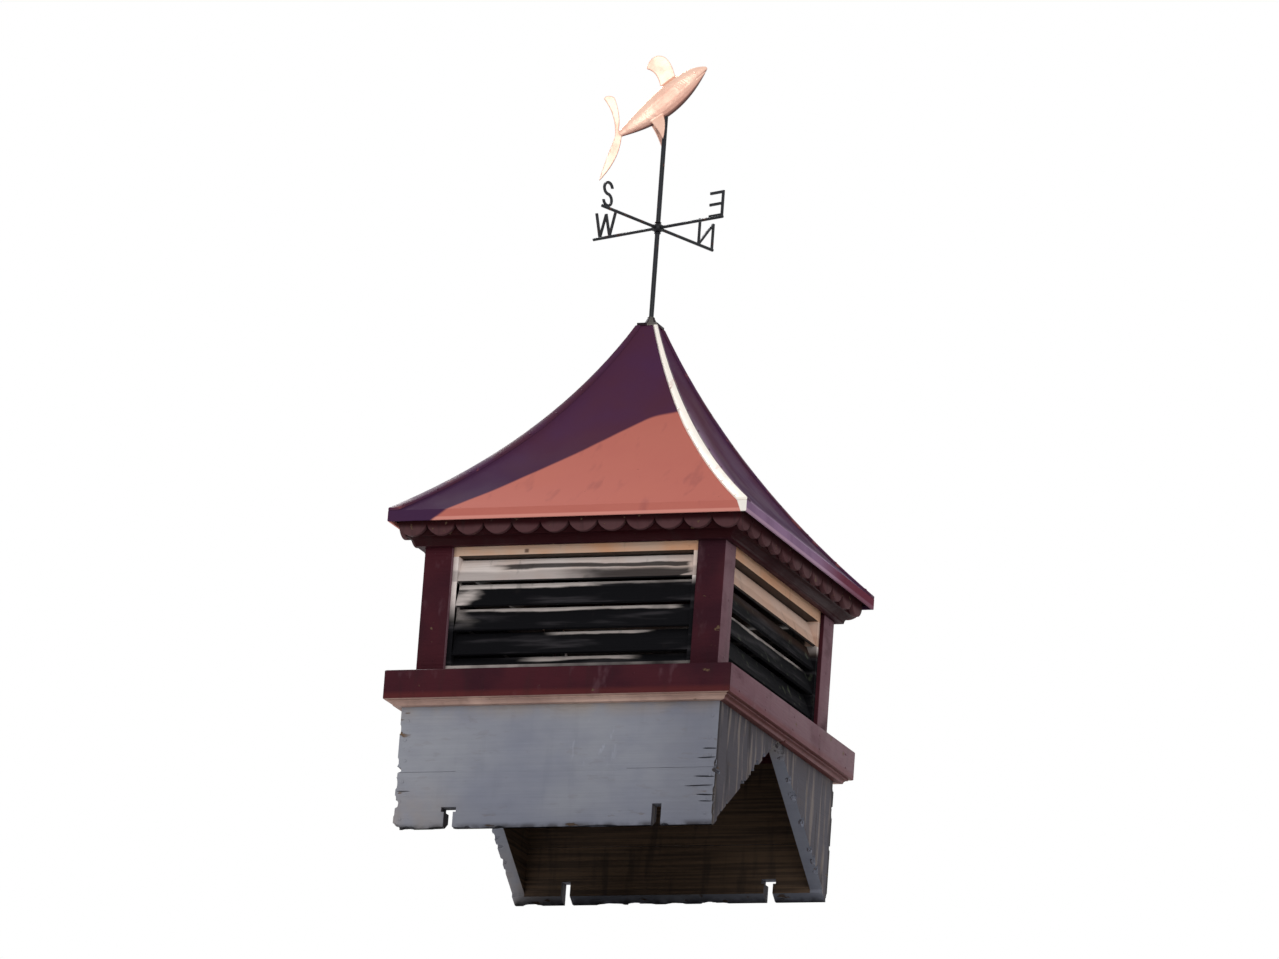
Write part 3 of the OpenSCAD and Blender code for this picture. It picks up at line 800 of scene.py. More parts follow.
def mix_roof_finish():
    """Painted metal: coral with faint smudges, a painted shadow in maroon above a slanting line, painted
    shade and reflection on the right panel, painted highlights at the hem, and painted shade underneath.
    """
    metal, look = Recipe("roof_metal", roughness=0.5, specular=0.004), colours()
    across = metal.by_side(metal.x * metal.y.sign() * -1.0, metal.y * metal.x.sign())
    waves = metal.cloud(4, 0.25, 0.75, detail=3)
    smudges = metal.cloud(13, 0.56, 0.76, (2.6, 1.2, 0.5), 3, (2, 1, 0))
    dull = metal.cloud(9, 0.36, 0.7, shift=(4, 4, 1))
    # Painted shadow: above a slanting line each panel takes the maroon and plum of the roof in shade, more
    # plum towards the eave; below it stays coral, the paint in light.
    level = metal.z + across * -0.74 + (waves - 0.5) * 0.006 + across.ramp(0.06, 0.14, 0.0, 30 * MM)
    deep = level.over(SHADOW_LINE, 0, 8)
    haze = metal.cloud(6, 0.3, 0.7, detail=3, shift=(1, 8, 5))
    maroon = haze.mix(look.roof_shade_and_smudge, look.roof_shade_plum)
    maroon = maroon.lay(LOW_SHADE_PLUM, metal.z.over(EAVE_Z, 210, 20, 0.0, 0.55))
    coral = (smudges * 0.2).mix(look.roof_coral, look.roof_shade_and_smudge).lay(PALE_CORAL, dull * 0.18)
    # Painted shade and reflection on the right panel: the shade colours, a painted mauve sky reflection
    # beside the front right hip and low near the front, and the drip's far end in dark red.
    beside = (across + metal.reach).ramp(0.11, 0.03) * metal.z.over(EAVE_Z, 330, 110)
    near = metal.y.ramp(0.26, 0.04, 0.25, 1.0)
    side_reflection = (metal.z.over(EAVE_Z, 40, 4) * near).either(beside)
    reflection_patches = metal.cloud(12, 0.25, 0.65, (1, 1, 0.5), 5, (6, 3, 2)).between(0.64, 0.94)
    far_drip = metal.z.over(EAVE_Z, 2, 0) * metal.y.ramp(-0.02, 0.2)
    shaded = maroon.lay(look.roof_sky_reflection, side_reflection * reflection_patches).lay(DRIP_RED, far_drip * 0.75)
    flat = deep.mix(coral, maroon).lay(shaded, metal.right)
    # Painted highlight: a pale line along the hem, out of the painted shadow on the other panels and near the
    # front on the right panel.
    hem_line = metal.z.over(DRIP_LOW, 7, 5)
    hem_share = metal.right.mix(1.0 - deep, near)
    flat = flat.lay(metal.right.mix(HEM_HIGHLIGHT_CORAL, HEM_HIGHLIGHT_MAUVE), hem_line * hem_share * 0.8)
    # Painted highlight: the front right hip's highlight runs down onto the drip at the corner.
    fold = (
        metal.front_right * metal.broad
        * (metal.far_x + (metal.z - EAVE_Z) * 0.4).over(ROOF_HALF, -20, -18.5)
        * metal.z.over(EAVE_Z, 2, 0))
    flat = flat.lay(look.hip_highlight, fold)
    # Painted shade: the inner faces under the metal are darkened.
    inner = metal.outward().ramp(-0.05, -0.2) * (metal.z > DRIP_LOW + 7 * MM)
    flat = flat.lay(UNDERSIDE_SHADE, inner * 0.95)
    flat = flat.lay(look.rust, metal.cloud(90, 0.72, 0.76, (1, 1, 0.5)) * 0.3)
    metal.coat(flat, dull.between(0.44, 0.6))
    metal.relief(waves * 0.8 + smudges * 0.1, 1.5 * MM, 0.6)


def mix_hip_finish():
    """Hip caps and peak flashing: a painted highlight on the front right hip, painted shade in the roof's
    maroon on the others, with worn spots in coral.
    """
    metal, look = Recipe("hip_metal", roughness=0.45, specular=0.04), colours()
    patches = metal.cloud(14, 0.35, 0.65)
    worn = metal.cloud(30, 0.6, 0.68, (1, 1, 0.6), 5)
    pale = (patches * 0.12).mix(look.hip_highlight, look.louver_cream).lay(look.roof_coral, worn * 0.25)
    painted = patches.mix(look.roof_shade_and_smudge, look.roof_shade_plum).lay(look.roof_coral, worn * 0.3)
    # Painted highlight: the front half of the front right hip is pale and half metal; the other hips take the
    # roof's painted shade.
    lit_hip = metal.front_right * (metal.far_y - metal.far_x).over(0, -1.5, 0.5)
    crest = metal.z.over(PEAK_Z, -1, 1)
    flat = lit_hip.mix(painted, pale).lay(look.grime, crest * 0.9)
    metal.coat(flat, patches.between(0.32, 0.5), lit_hip * 0.5)
    metal.relief(patches * 0.5, 0.8 * MM, 0.5)


def mix_wood_finish():
    """Raw wood with its grain."""
    wood, look = Recipe("bare_wood", roughness=0.8), colours()
    rings = wood.cloud(8, 0.35, 0.65, (14, 14, 1), 5)
    wood.coat(rings.mix(look.raw_wood, WOOD_RING), rings.between(0.7, 0.9))
    wood.relief(rings, 0.6 * MM)


def mix_iron_finish():
    """Black painted iron with a little rust."""
    iron, look = Recipe("black_iron", roughness=0.45), colours()
    patches = iron.cloud(38, 0.4, 0.65, (1, 1, 0.6), 5)
    rusted = iron.cloud(55, 0.62, 0.7, detail=6, shift=(2, 2, 2))
    flat = (patches * 0.4).mix(look.iron, IRON_GREY).lay(look.rust, rusted * 0.75)
    iron.coat(flat, patches.between(0.36, 0.55).plus(rusted * 0.3), 0.5)
    iron.relief(patches * 0.3 + rusted, 0.4 * MM)


def mix_copper_finish():
    """Polished copper, hammered lightly, with tarnish in patches and streaks, and painted shade on the
    shark's underside.
    """
    metal, look = Recipe("copper", roughness=0.3, specular=0.1), colours()
    tarnish = metal.cloud(18, 0.42, 0.7, detail=5)
    streaks = metal.cloud(26, 0.55, 0.75, (1, 1, 0.5), shift=(1, 5, 2))
    downward = metal.facing_along(shark_point(0, -1, 0) - shark_point(0, 0, 0)) / SHARK_UNIT
    flat = (tarnish * 0.25).mix(look.copper, look.copper_tarnish_and_shade)
    # Painted shade: the copper darkens on faces that point down from the shark, and the belly turns dark
    # brown and less metal.
    for share in (streaks * 0.18, downward.ramp(0.1, 0.8) * 0.6):
        flat = flat.lay(look.copper_tarnish_and_shade, share)
    belly = downward.ramp(0.62, 0.9)
    flat = flat.lay(BELLY_SHADE_BROWN, belly * 0.92)
    metal.coat(flat, tarnish.between(0.36, 0.52), 1.0 - belly * 0.9)
    metal.relief(metal.cloud(150, 0.3, 0.7, detail=2), 0.5 * MM, 0.5)


FINISHES = (
    mix_board_finish,
    mix_trim_finish,
    mix_louver_finish,
    mix_scallop_finish,
    mix_roof_finish,
    mix_hip_finish,
    mix_wood_finish,
    mix_iron_finish,
    mix_copper_finish,
)
FINISH_OF_NODE = (
    # Starts of nodes' names, and their finish
    (("base_",), "weathered_boards"),
    (("sill_", "post_", "crown_moulding", "top_plate"), "red_paint"),
    (("louver_",), "louver_paint"),
    (("scallop_",), "scallop_paint"),
    (("roof_",), "roof_metal"),
    (("hip_caps", "peak_cap"), "hip_metal"),
    (("peak_block",), "bare_wood"),
    (("vane_", "compass_"), "black_iron"),
    (("shark_body", "dorsal_fin", "side_fins", "tail_fin"), "copper"),
)


def finish_of(node):
    """The finish of a CAD node."""
    for starts, finish in FINISH_OF_NODE:
        if node.startswith(starts):
            return finish
    raise RuntimeError(f"no finish is given for {node}")


class CUPOLA_OT_finishes(bpy.types.Operator):
    """Mix the finishes and paint every node of the frame"""

    bl_idname = "cupola.finishes"
    bl_label = "Finishes"

    def execute(self, context):
        for mix_finish in FINISHES:
            mix_finish()
        for node, piece in CAD_NODES.items():
            piece.data.materials.clear()
            piece.data.materials.append(bpy.data.materials[finish_of(node)])
        return {"FINISHED"}


# Base boards

CUTTER_ROUGHNESS = 0.22
SEEDS = 999
SPLIT_DEPTH = 9 * MM
CUT_WELD = 0.01 * MM
EDGE_WELD = 0.006 * MM
BOARD_EDGE = 0.7 * MM
FOOT_NIBBLES = 9
END_NIBBLES = 4
SADDLE_TEARS = 26
SADDLE_CRACKS = 5
NAIL_ROWS = (0.018, 0.052, 0.088, 0.128, 0.165, 0.205)
FILM_SIZE = (0.335, 1.4 * MM, 4.4 * MM)
FILM_MIDDLE = (-0.0275, -BASE_HALF + 0.5 * MM, BOARD_SEAM)
FRONT_SPLITS = (
    # Middle along X, height, half length, half width, lean
    (0.298, 0.1410, 0.014, 0.0014, 0.02),
    (0.293, 0.1240, 0.017, 0.0014, -0.02),
    (0.291, 0.0890, 0.020, 0.0015, 0.03),
    (0.281, 0.0720, 0.028, 0.0013, -0.02),
    (0.294, 0.0550, 0.017, 0.0014, 0.05),
    (0.296, 0.0430, 0.014, 0.0011, 0.03),
    (-0.296, 0.0710, 0.013, 0.0009, 0.02),
)
FRONT_CHIPS = (
    # Place along X, height, half width, half height
    (-0.311, 0.1120, 0.009, 0.006),
    (-0.311, 0.0480, 0.008, 0.009),
    (-0.311, 0.0020, 0.013, 0.010),
    (0.311, 0.1010, 0.006, 0.005),
)


def spindle(point, half_sizes, seed, lean=0.0):
    """A rough spindle that cuts one split or chip, longest along X when it is made so."""
    bpy.ops.mesh.primitive_ico_sphere_add(subdivisions=3, radius=1.0)
    piece = bpy.context.object
    open_mesh(piece)
    roughen(CUTTER_ROUGHNESS, seed)
    piece.scale = half_sizes
    piece.rotation_euler = (0.0, lean, 0.0)
    piece.location = point
    return seat(piece)


def side_splits(generator, count):
    """Splits for a board that the photo doesn't show, mostly near its ends."""
    rows = []
    for _ in range(count):
        end = generator.choice((-1, 1))
        rows.append((
            end * generator.uniform(0.23, 0.292), generator.uniform(0.03, 0.21),
            generator.uniform(0.015, 0.045), generator.uniform(0.0007, 0.0013),
            generator.uniform(-0.05, 0.05)))
    return rows


def board_cutters(rows, chips, low, high, generator):
    """Splits and chips between two heights, with nibbles along the low edge and at the ends."""
    cutters = []
    for x, z, half_width, half_height in chips:
        if low < z < high:
            half_sizes = (half_width, BOARD_T * 1.2, half_height)
            cutters.append(spindle((x, -BASE_HALF, z), half_sizes, generator.randrange(SEEDS)))
    for x, z, half_length, half_width, lean in rows:
        if low < z < high:
            half_sizes = (half_length, SPLIT_DEPTH, half_width)
            cutters.append(spindle((x, -BASE_HALF, z), half_sizes, generator.randrange(SEEDS), lean))
    for _ in range(FOOT_NIBBLES if low == 0.0 else 0):
        cutters.append(spindle(
            (generator.uniform(-BASE_HALF, BASE_HALF), -BASE_HALF + generator.uniform(-1, 1) * MM, 0.0),
            (generator.uniform(6, 34) * MM, generator.uniform(7, 12) * MM, generator.uniform(2, 5) * MM),
            generator.randrange(SEEDS)))
    for end in (-1, 1):
        for _ in range(END_NIBBLES):
            z = generator.uniform(low, high)
            cutters.append(spindle(
                (end * BASE_HALF, -BASE_HALF + generator.uniform(0, 2) * MM, z),
                (generator.uniform(1.5, 4) * MM, generator.uniform(3, 7) * MM, generator.uniform(3, 12) * MM),
                generator.randrange(SEEDS)))
    return cutters


def turn_piece(piece, turns):
    """Turns a piece made for the front to another side."""
    piece.data.transform(Matrix.Rotation(turns * math.pi / 2, 4, "Z"))


def wear_board(piece, node, turns, cutters):
    """Cuts a board that faces front, turns it to its own side, wears its edges and puts it in place."""
    tool = join(cutters, "cutter")
    apply_modifier(piece, "BOOLEAN", operation="DIFFERENCE", object=tool, solver="EXACT", use_self=True)
    bpy.data.objects.remove(tool)
    turn_piece(piece, turns)
    weld(piece, CUT_WELD)
    bevel(piece, BOARD_EDGE, 1, 50)
    weld(piece, EDGE_WELD)
    settle(piece, "weathered_boards", nodes=(node,))


def make_boards(side_name, turns, rows, chips, seed):
    """The two boards of one broad side, split and chipped, in place of their nodes."""
    generator = random.Random(seed)
    for part, low, high in (("upper", BOARD_SEAM, BASE_TOP), ("lower", 0.0, BOARD_SEAM)):
        node = f"base_{side_name}_{part}"
        piece = copy_node(node, f"board_{side_name}_{part}")
        turn_piece(piece, -turns)
        wear_board(piece, node, turns, board_cutters(rows, chips, low, high, generator))


def saddle_height(x):
    """Height of the saddle's edge in a side wall."""
    return BASE_HALF * SADDLE_SLOPE - abs(x) * SADDLE_SLOPE


def make_side_wall(node, turns, seed):
    """A side wall, torn along its saddle and split by the weather."""
    generator = random.Random(seed)
    piece = copy_node(node, node.replace("base", "wall"))
    turn_piece(piece, -turns)
    cutters = []
    for _ in range(SADDLE_TEARS):
        x = generator.uniform(-0.27, 0.27)
        cutters.append(spindle(
            (x, -BASE_HALF + generator.uniform(-2, 3) * MM, max(saddle_height(x), 4 * MM)),
            (generator.uniform(3, 9) * MM, generator.uniform(5, 14) * MM, generator.uniform(3, 13) * MM),
            generator.randrange(SEEDS), generator.uniform(-0.5, 0.5)))
    for _ in range(SADDLE_CRACKS):
        x = generator.uniform(-0.25, 0.25)
        cutters.append(spindle(
            (x, -BASE_HALF, saddle_height(x) + generator.uniform(15, 45) * MM),
            (0.9 * MM, 8 * MM, generator.uniform(18, 40) * MM), generator.randrange(SEEDS)))
    wear_board(piece, node, turns, cutters)


def make_board_nails():
    """Painted nail heads along the ends of the front and back boards."""
    spots = []
    generator = random.Random(11)
    for turns in (0, 2):
        for end in (-1, 1):
            for z in NAIL_ROWS:
                x = end * (BASE_HALF - BOARD_T / 2 + generator.uniform(-3, 3) * MM)
                point = (x, -BASE_HALF, z + generator.uniform(-4, 4) * MM)
                spots.append((quarter(turns, point), quarter(turns, FRONTWARD)))
    piece = strew(head("nail", sizes().nail_head, 1.2 * MM), spots, "board_nails")
    settle(piece, "weathered_boards")


def make_paint_film():
    """The old paint that still bridges the joint of the front boards, but not near their ends."""
    bpy.ops.mesh.primitive_cube_add(size=1.0)
    film = bpy.context.object
    film.scale = FILM_SIZE
    film.location = FILM_MIDDLE
    seat(film, "paint_film")
    open_mesh(film, chosen=True)
    bpy.ops.mesh.subdivide(number_cuts=24)
    roughen(0.1 * MM, 4)
    smooth(film, 40)
    settle(film, "weathered_boards")


class CUPOLA_OT_base(bpy.types.Operator):
    """Split, chip and nail the boards of the base box"""

    bl_idname = "cupola.base"
    bl_label = "Base boards"

    def execute(self, context):
        make_boards("front", 0, FRONT_SPLITS, FRONT_CHIPS, 3)
        make_boards("back", 2, side_splits(random.Random(8), 7), (), 5)
        make_side_wall("base_right", 1, 17)
        make_side_wall("base_left", 3, 23)
        make_board_nails()
        make_paint_film()
        return {"FINISHED"}


# Painted trim

SILL_BRADS = (-0.29, -0.145, 0.0, 0.145, 0.29)
SILL_BRAD_ROWS = (SILL_LOW + 13 * MM, SILL_LOW + 38 * MM)
POST_BRAD_ROWS = (POST_LOW + 22 * MM, POST_LOW + 130 * MM, POST_TOP - 28 * MM)
LOUVER_BRAD_ROWS = (POST_LOW + 9 * MM, POST_TOP - 26 * MM)
TRIM_BRADS = 6
TRIM_BRAD_GAP = 0.108
BRAD_HEIGHT = 0.8 * MM


def make_brads():
    """Small nail heads in the sill, the posts and the trim boards, and in the louver frames."""
    spots = []
    frame_spots = []
    generator = random.Random(29)
    for turns in range(4):
        out = quarter(turns, FRONTWARD)
        for x in SILL_BRADS:
            for z in SILL_BRAD_ROWS:
                jitter = generator.uniform(-5, 5) * MM
                spots.append((quarter(turns, (x + jitter, -SILL_HALF, z)), out))
        for end in (-1, 1):
            for z in POST_BRAD_ROWS:
                x = end * (POST_FACE - POST_SIDE / 2 + generator.uniform(-8, 8) * MM)
                spots.append((quarter(turns, (x, -POST_FACE, z)), out))
            for z in LOUVER_BRAD_ROWS:
                x = end * (LOUVER_HALF - 20 * MM)
                frame_spots.append((quarter(turns, (x, -LOUVER_FACE, z)), out))
        for number in range(TRIM_BRADS):
            x = (number - (TRIM_BRADS - 1) / 2) * TRIM_BRAD_GAP
            spots.append((quarter(turns, (x, -TRIM_FACE, TRIM_LOW + 26 * MM)), out))
    for places, name, finish in (
            (spots, "trim_brads", "red_paint"), (frame_spots, "louver_brads", "louver_paint")):
        settle(strew(head("brad", sizes().brad_head, BRAD_HEIGHT, 8), places, name), finish)


class CUPOLA_OT_trim(bpy.types.Operator):
    """Wear the edges of the sill, the posts and the cornice, and nail them"""

    bl_idname = "cupola.trim"
    bl_label = "Painted trim"

    def execute(self, context):
        edge = sizes().trim_edge
        for side in SIDES:
            rounded_copy(f"sill_{side}", f"sill_member_{side}", "red_paint", edge)
            rounded_copy(f"scallop_{side}", f"scalloped_board_{side}", "scallop_paint", edge * 0.6)
        for corner in CORNERS:
            rounded_copy(f"post_{corner}", f"corner_post_{corner}", "red_paint", edge * 1.3)
        rounded_copy("crown_moulding", "crown_run", "red_paint", edge * 0.4, 1)
        rounded_copy("sill_cove", "cove_run", "red_paint", edge * 0.4, 1)
        make_brads()
        return {"FINISHED"}


class CUPOLA_OT_louvers(bpy.types.Operator):
    """Wear the louvers"""

    bl_idname = "cupola.louvers"
    bl_label = "Louvers"

    def execute(self, context):
        for side in SIDES:
            rounded_copy(f"louver_{side}", f"slatted_louver_{side}", "louver_paint", 0.9 * MM)
        return {"FINISHED"}


# Roof

METAL_FOLD = {"angle": 40, "flat": 0.05, "shading": 20}
RIVET_HEIGHT = 1.4 * MM
RIVET_LIFT = 4.1 * MM
SEAL_RADIUS = 5.6 * MM
SEAL_THICKNESS = 3 * MM
SEAL_UP = 14 * MM


def roof_curve():
    """Middle of the roof's hollow curve, as its distance from the axis and its height."""
    run = ROOF_HALF - PEAK_HALF
    rise = PEAK_Z - EAVE_Z
    chord = math.hypot(run, rise)
    apothem = math.sqrt(ROOF_RADIUS ** 2 - (chord / 2) ** 2)
    return (
        (ROOF_HALF + PEAK_HALF) / 2 + apothem * rise / chord,
        EAVE_Z + rise / 2 + apothem * run / chord,
    )


def roof_point(distance, lift):
    """Distance, height and slope direction of a point over the roof's outer face."""
    middle, height = roof_curve()
    z = height - math.sqrt(ROOF_RADIUS ** 2 - (middle - distance) ** 2)
    out = Vector(((middle - distance) / ROOF_RADIUS, (height - z) / ROOF_RADIUS))
    return distance + out[0] * lift, z + out[1] * lift, out


def hip_width(distance):
    """Width of a hip cap at a distance from the axis."""
    for (near, narrow), (far, wide) in zip(HIP_WIDTHS, HIP_WIDTHS[1:]):
        if distance <= far:
            break
    return narrow + (wide - narrow) * (distance - near) / (far - near)


def make_rivets():
    """Rivets down both sides of each hip cap, as far as the cap is wide enough."""
    spots = []
    rivet = sizes().rivet_head
    middle = roof_curve()[0]
    start = math.asin((middle - ROOF_HALF) / ROOF_RADIUS)
    end = math.asin((middle - PEAK_HALF) / ROOF_RADIUS)
    count = int((end - start) * ROOF_RADIUS / sizes().rivet_gap)
    for turns in range(4):
        for step in range(count):
            turn = start + (end - start) * (step + 0.4) / count
            distance = middle - math.sin(turn) * ROOF_RADIUS
            half_width = hip_width(distance) / 2
            if half_width < rivet + 3 * MM:
                continue
            inset = (half_width - rivet / 2 - MM) / math.sqrt(2)
            for hand in (-1, 1):
                reach, z, out = roof_point(distance + inset, RIVET_LIFT)
                point = (hand * (distance - inset), -reach, z)
                spots.append((quarter(turns, point), quarter(turns, (0, -out[0], out[1]))))
    piece = strew(head("rivet", rivet, RIVET_HEIGHT), spots, "hip_rivets")
    smooth(piece, 50)
    settle(piece, "hip_metal")


def square_ring(name, half_side, thickness, z):
    """A rolled bead that runs round the cupola in a square."""
    bpy.ops.mesh.primitive_torus_add(
        major_segments=4, minor_segments=12, major_radius=half_side * math.sqrt(2),
        minor_radius=thickness / 2, location=(0, 0, z), rotation=(0, 0, math.pi / 4))
    bead = seat(bpy.context.object, name)
    open_mesh(bead, chosen=True)
    bpy.ops.mesh.subdivide(number_cuts=1)
    bpy.ops.mesh.normals_make_consistent(inside=False)
    close_mesh()
    smooth(bead, 40)
    return bead


def ring(name, radius, thickness, point, direction=(0, 0, 1)):
    """A round bead about a line."""
    bpy.ops.mesh.primitive_torus_add(
        major_segments=32, minor_segments=10, major_radius=radius, minor_radius=thickness / 2)
    piece = bpy.context.object
    piece.data.transform(stand(point, direction))
    smooth(piece, 60)
    piece.name = name
    return piece


class CUPOLA_OT_roof(bpy.types.Operator):
    """Smooth the roof metal and add its hem, rivets and seals"""

    bl_idname = "cupola.roof"
    bl_label = "Roof metal"

    def execute(self, context):
        edge = sizes().metal_edge
        hem = sizes().hem
        for side in SIDES:
            rounded_copy(f"roof_{side}", f"roof_panel_{side}", "roof_metal", edge * 0.6, 1, **METAL_FOLD)
        rounded_copy("hip_caps", "hip_cap_strips", "hip_metal", edge, 2, **METAL_FOLD)
        rounded_copy("peak_cap", "peak_flashing", "hip_metal", edge)
        settle(square_ring("drip_hem", ROOF_HALF - hem * 0.36, hem, DRIP_LOW + hem / 2), "roof_metal")
        make_rivets()
        settle(ring("rod_seal", SEAL_RADIUS, SEAL_THICKNESS, (0, 0, CAP_TOP + SEAL_UP)), "hip_metal")
        return {"FINISHED"}


# Weathervane

HUB_COLLAR_LIFTS = (-10.4 * MM, 10.4 * MM)
ARM_COLLAR_OUT = 12.0
GILLS = 5
FIRST_GILL = 66
GILL_GAP = 2.3
GILL_HALF = 0.55
MOUTH_FROM = 84
MOUTH_TO = 97
MOUTH_HALF = 0.6
GROOVE_DEPTH = 1.1
EYE_ALONG = 87
EYE_UP = 2.5
EYE_SIDE = 4.6


def make_compass_details():
    """Collars at the hub and at the roots of the arms."""
    collars = [ring("collar", 5.2 * MM, 2.4 * MM, HUB + Vector((0, 0, lift))) for lift in HUB_COLLAR_LIFTS]
    for number in range(4):
        turn = Matrix.Rotation(ARM_TURN + number * math.pi / 2, 3, "Z")
        out = turn @ Vector((1, 0, 0))
        collars.append(ring("collar", 3.3 * MM, 1.8 * MM, HUB + out * ARM_COLLAR_OUT * MM, out))
    settle(join(collars, "compass_collars"), "black_iron")


def shark_point(along, up, side):
    """Place of a point of the shark, which is given in hundredths of its body's length."""
    cosine, sine = math.cos(SHARK_CLIMB), math.sin(SHARK_CLIMB)
    point = SHARK_ROOT + SHARK_UNIT * Vector((along * cosine - up * sine, side, along * sine + up * cosine))
    return Matrix.Rotation(SHARK_HEADING, 3, "Z") @ point


def shark_share(point):
    """The reverse of shark_point: how far along, up and aside on the shark a place is."""
    cosine, sine = math.cos(SHARK_CLIMB), math.sin(SHARK_CLIMB)
    place = (Matrix.Rotation(-SHARK_HEADING, 3, "Z") @ point - SHARK_ROOT) / SHARK_UNIT
    return place.x * cosine + place.z * sine, place.z * cosine - place.x * sine, place.y


def groove_depth(along, up, side):
    """How deep the skin is pressed in at the gills and the mouth, as a share of the full depth."""
    if -3.6 < up < 3.2 and abs(side) > 2:
        for number in range(GILLS):
            off = abs(along - FIRST_GILL - number * GILL_GAP + up * 0.25)
            if off < GILL_HALF:
                return 1 - off / GILL_HALF
    if MOUTH_FROM < along < MOUTH_TO and side != 0:
        off = abs(up + 3.4 - (along - MOUTH_FROM) * 0.1)
        if off < MOUTH_HALF:
            return 1 - off / MOUTH_HALF
    return 0.0


def drop_specks(figure):
    """Keeps the one shell that has the shark's middle, without the specks that a remesh can leave."""
    open_mesh(figure)
    choose_faces(figure, lambda face: 40 < shark_share(face.calc_center_median())[0] < 42)
    bpy.ops.mesh.select_linked()
    bpy.ops.mesh.select_all(action="INVERT")
    bpy.ops.mesh.delete(type="VERT")
    close_mesh()


def press_grooves(figure):
    """Presses the gill slits and the line of the mouth into the copper."""
    open_mesh(figure)
    mesh = bmesh.from_edit_mesh(figure.data)
    for vertex in mesh.verts:
        depth = groove_depth(*shark_share(vertex.co))
        if depth > 0:
            vertex.co -= vertex.normal * depth * GROOVE_DEPTH * MM
    bmesh.update_edit_mesh(figure.data)
    close_mesh()


def make_eye(side):
    """One eye, a low bead soldered to the side of the head."""
    bpy.ops.mesh.primitive_uv_sphere_add(segments=20, ring_count=12, radius=sizes().eye / 2)
    bead = bpy.context.object
    bead.scale = (1.0, 0.5, 1.0)
    bead.rotation_euler = (0.0, 0.0, SHARK_HEADING)
    bead.location = shark_point(EYE_ALONG, EYE_UP, side)
    return seat(bead, "eye")


def make_shark():
    """One smooth copper figure in place of the body and the fins, with gills, mouth and eyes."""
    nodes = ("shark_body", "dorsal_fin", "side_fins", "tail_fin")
    figure = join([copy_node(node, f"{node}_copy", 0.01) for node in nodes], "shark_figure")
    apply_modifier(figure, "REMESH", mode="VOXEL", voxel_size=sizes().skin_cell, adaptivity=0.0)
    apply_modifier(figure, "SMOOTH", factor=0.5, iterations=6)
    drop_specks(figure)
    press_grooves(figure)
    figure = join([figure, make_eye(EYE_SIDE), make_eye(-EYE_SIDE)], "shark_figure")
    smooth(figure, 60)
    settle(figure, "copper", "vane", nodes)


class CUPOLA_OT_vane(bpy.types.Operator):
    """Finish the weathervane"""

    bl_idname = "cupola.vane"
    bl_label = "Weathervane"

    def execute(self, context):
        make_compass_details()
        make_shark()
        return {"FINISHED"}


# Stage

FLOOR_COLOUR = (0.86, 0.86, 0.87)
FLOOR_SIZE = 20.0
FLOOR_LEVEL = -0.2 * MM
FADE_FROM = 1.2
FADE_TO = 6.0
SENSOR_WIDTH = 36.0
AIM_DROP = 45 * MM
LAMPS = (
    # Name, setting of its power, side of its square, and its place
    ("key_light", "key_power", 1.6, (-2.6, 1.6, 4.0)),
    ("fill_light", "fill_power", 8.0, (4.4, -10.0, 4.06)),
)


def seen_share(tree):
    """One for light that reaches the eye straight or by way of gloss or glass, and otherwise nothing."""
    path = add_node(tree, "LightPath").outputs
    seen = Field(path["Is Camera Ray"])
    for kind in ("Is Glossy Ray", "Is Transmission Ray"):
        seen = seen.either(path[kind])
    return seen


def floor_finish():
    """A pale floor that fades to white far out, and shows from above only, for a camera under its level."""
    material = bpy.data.materials.new("studio_floor")
    material.use_nodes = True
    tree = material.node_tree
    shader = tree.nodes["Principled BSDF"]
    feed(shader.inputs["Base Color"], FLOOR_COLOUR)
    feed(shader.inputs["Roughness"], 0.9)
    place = add_node(tree, "TexCoord").outputs["Object"]
    away = Field(add_node(tree, "VectorMath", {0: place}, operation="LENGTH").outputs["Value"])
    fade = away.ramp(FADE_FROM, FADE_TO, 0.0, seen_share(tree))
    white = add_node(tree, "Emission").outputs[0]
    faded = add_node(tree, "MixShader", {0: fade, 1: shader.outputs[0], 2: white}).outputs[0]
    under = add_node(tree, "NewGeometry").outputs["Backfacing"]
    clear = add_node(tree, "BsdfTransparent").outputs[0]
    choice = add_node(tree, "MixShader", {0: under, 1: faded, 2: clear}).outputs[0]
    feed(tree.nodes["Material Output"].inputs["Surface"], choice)
    return material


def light_world(level):
    """Even light from all around, which shows as white to the eye and in gloss."""
    world = bpy.data.worlds.new("studio_world")
    bpy.context.scene.world = world
    world.use_nodes = True
    tree = world.node_tree
    background = tree.nodes["Background"]
    strength = add_node(tree, "MapRange", {"Value": seen_share(tree), "To Min": level, "To Max": 1.0})
    feed(background.inputs["Color"], (1, 1, 1))
    feed(background.inputs["Strength"], strength.outputs[0])


def add_light(name, power, size, point, target):
    """A square soft light that points at a target."""
    bpy.ops.object.light_add(type="AREA", location=point)
    lamp = bpy.context.object
    lamp.name = name
    lamp.data.energy = power
    lamp.data.size = size
    lamp.visible_camera = False
    lamp.rotation_euler = (Vector(target) - Vector(point)).to_track_quat("-Z", "Y").to_euler()


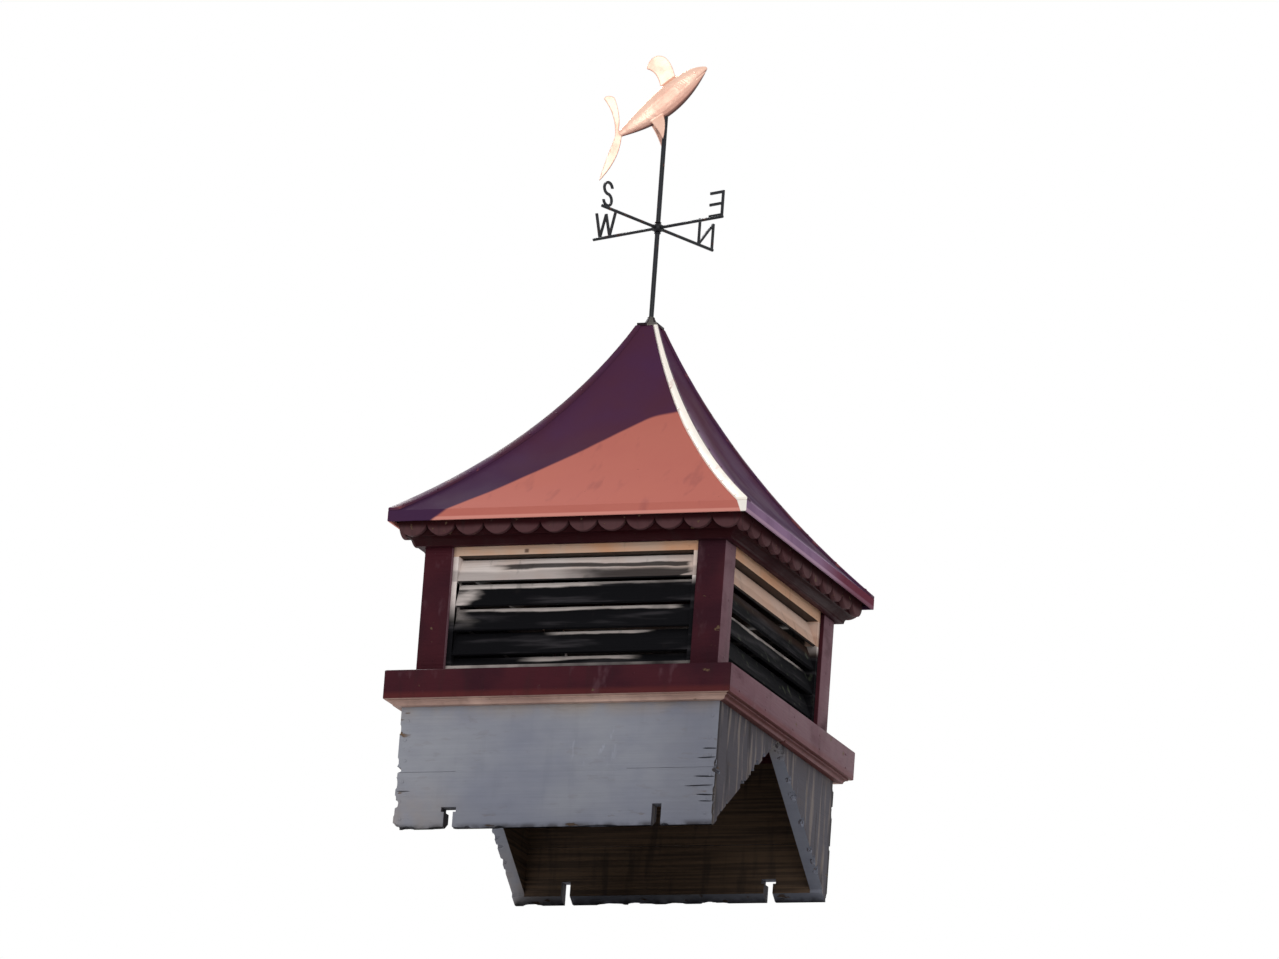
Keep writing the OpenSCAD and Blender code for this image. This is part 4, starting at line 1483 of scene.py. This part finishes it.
class CUPOLA_OT_stage(bpy.types.Operator):
    """Set the camera, the floor and the soft lights"""

    bl_idname = "cupola.stage"
    bl_label = "Stage"

    def execute(self, context):
        stage = context.scene.cupola_stage
        middle = (CAD_BOX[0] + CAD_BOX[1]) / 2 - Vector((0, 0, AIM_DROP))
        level = math.cos(stage.elevation)
        away = Vector((
            math.sin(stage.azimuth) * level, -math.cos(stage.azimuth) * level, math.sin(stage.elevation)))
        bpy.ops.object.camera_add(location=middle + away * stage.distance)
        camera = context.object
        camera.name = "photo_camera"
        camera.data.lens = stage.lens
        camera.data.sensor_width = SENSOR_WIDTH
        camera.data.clip_start = 0.1
        camera.data.clip_end = 100.0
        aim = (-away).to_track_quat("-Z", "Y")
        camera.rotation_euler = (aim @ Quaternion((0, 0, 1), stage.roll)).to_euler()
        context.scene.camera = camera
        bpy.ops.mesh.primitive_plane_add(size=FLOOR_SIZE, location=(0, 0, FLOOR_LEVEL))
        floor = seat(context.object, "studio_floor")
        floor.data.materials.append(floor_finish())
        light_world(stage.sky_level)
        for name, power, size, point in LAMPS:
            add_light(name, getattr(stage, power), size, point, middle)
        context.scene.view_settings.view_transform = "Standard"
        return {"FINISHED"}


class CUPOLA_PT_panel(bpy.types.Panel):
    """Lists the steps that dress the cupola, with their sizes and colours"""

    bl_label = "Garage Cupola"
    bl_idname = "CUPOLA_PT_panel"
    bl_space_type = "VIEW_3D"
    bl_region_type = "UI"
    bl_category = "Cupola"

    def draw(self, context):
        column = self.layout.column()
        for step in STEPS:
            column.operator(step.bl_idname)
        for group in GROUPS:
            settings = getattr(context.scene, group)
            for name in settings.__annotations__:
                column.prop(settings, name)


STEPS = (
    CUPOLA_OT_stage,
    CUPOLA_OT_finishes,
    CUPOLA_OT_base,
    CUPOLA_OT_trim,
    CUPOLA_OT_louvers,
    CUPOLA_OT_roof,
    CUPOLA_OT_vane,
)
GROUPS = {
    "cupola_colours": CupolaColours,
    "cupola_sizes": CupolaSizes,
    "cupola_stage": CupolaStage,
}
CLASSES = (*GROUPS.values(), *STEPS, CUPOLA_PT_panel)


def register():
    """Adds the classes and the settings to Blender."""
    for kind in CLASSES:
        bpy.utils.register_class(kind)
    for name, kind in GROUPS.items():
        setattr(bpy.types.Scene, name, PointerProperty(type=kind))


def unregister():
    """Takes the classes and the settings out of Blender."""
    for name in GROUPS:
        delattr(bpy.types.Scene, name)
    for kind in reversed(CLASSES):
        bpy.utils.unregister_class(kind)


def main():
    """Makes every piece in order."""
    register()
    pick_nothing()
    bpy.ops.cupola.stage()
    bpy.ops.cupola.finishes()
    bpy.ops.cupola.base()
    bpy.ops.cupola.trim()
    bpy.ops.cupola.louvers()
    bpy.ops.cupola.roof()
    bpy.ops.cupola.vane()
    pick_nothing()


if __name__ == "__main__":
    main()
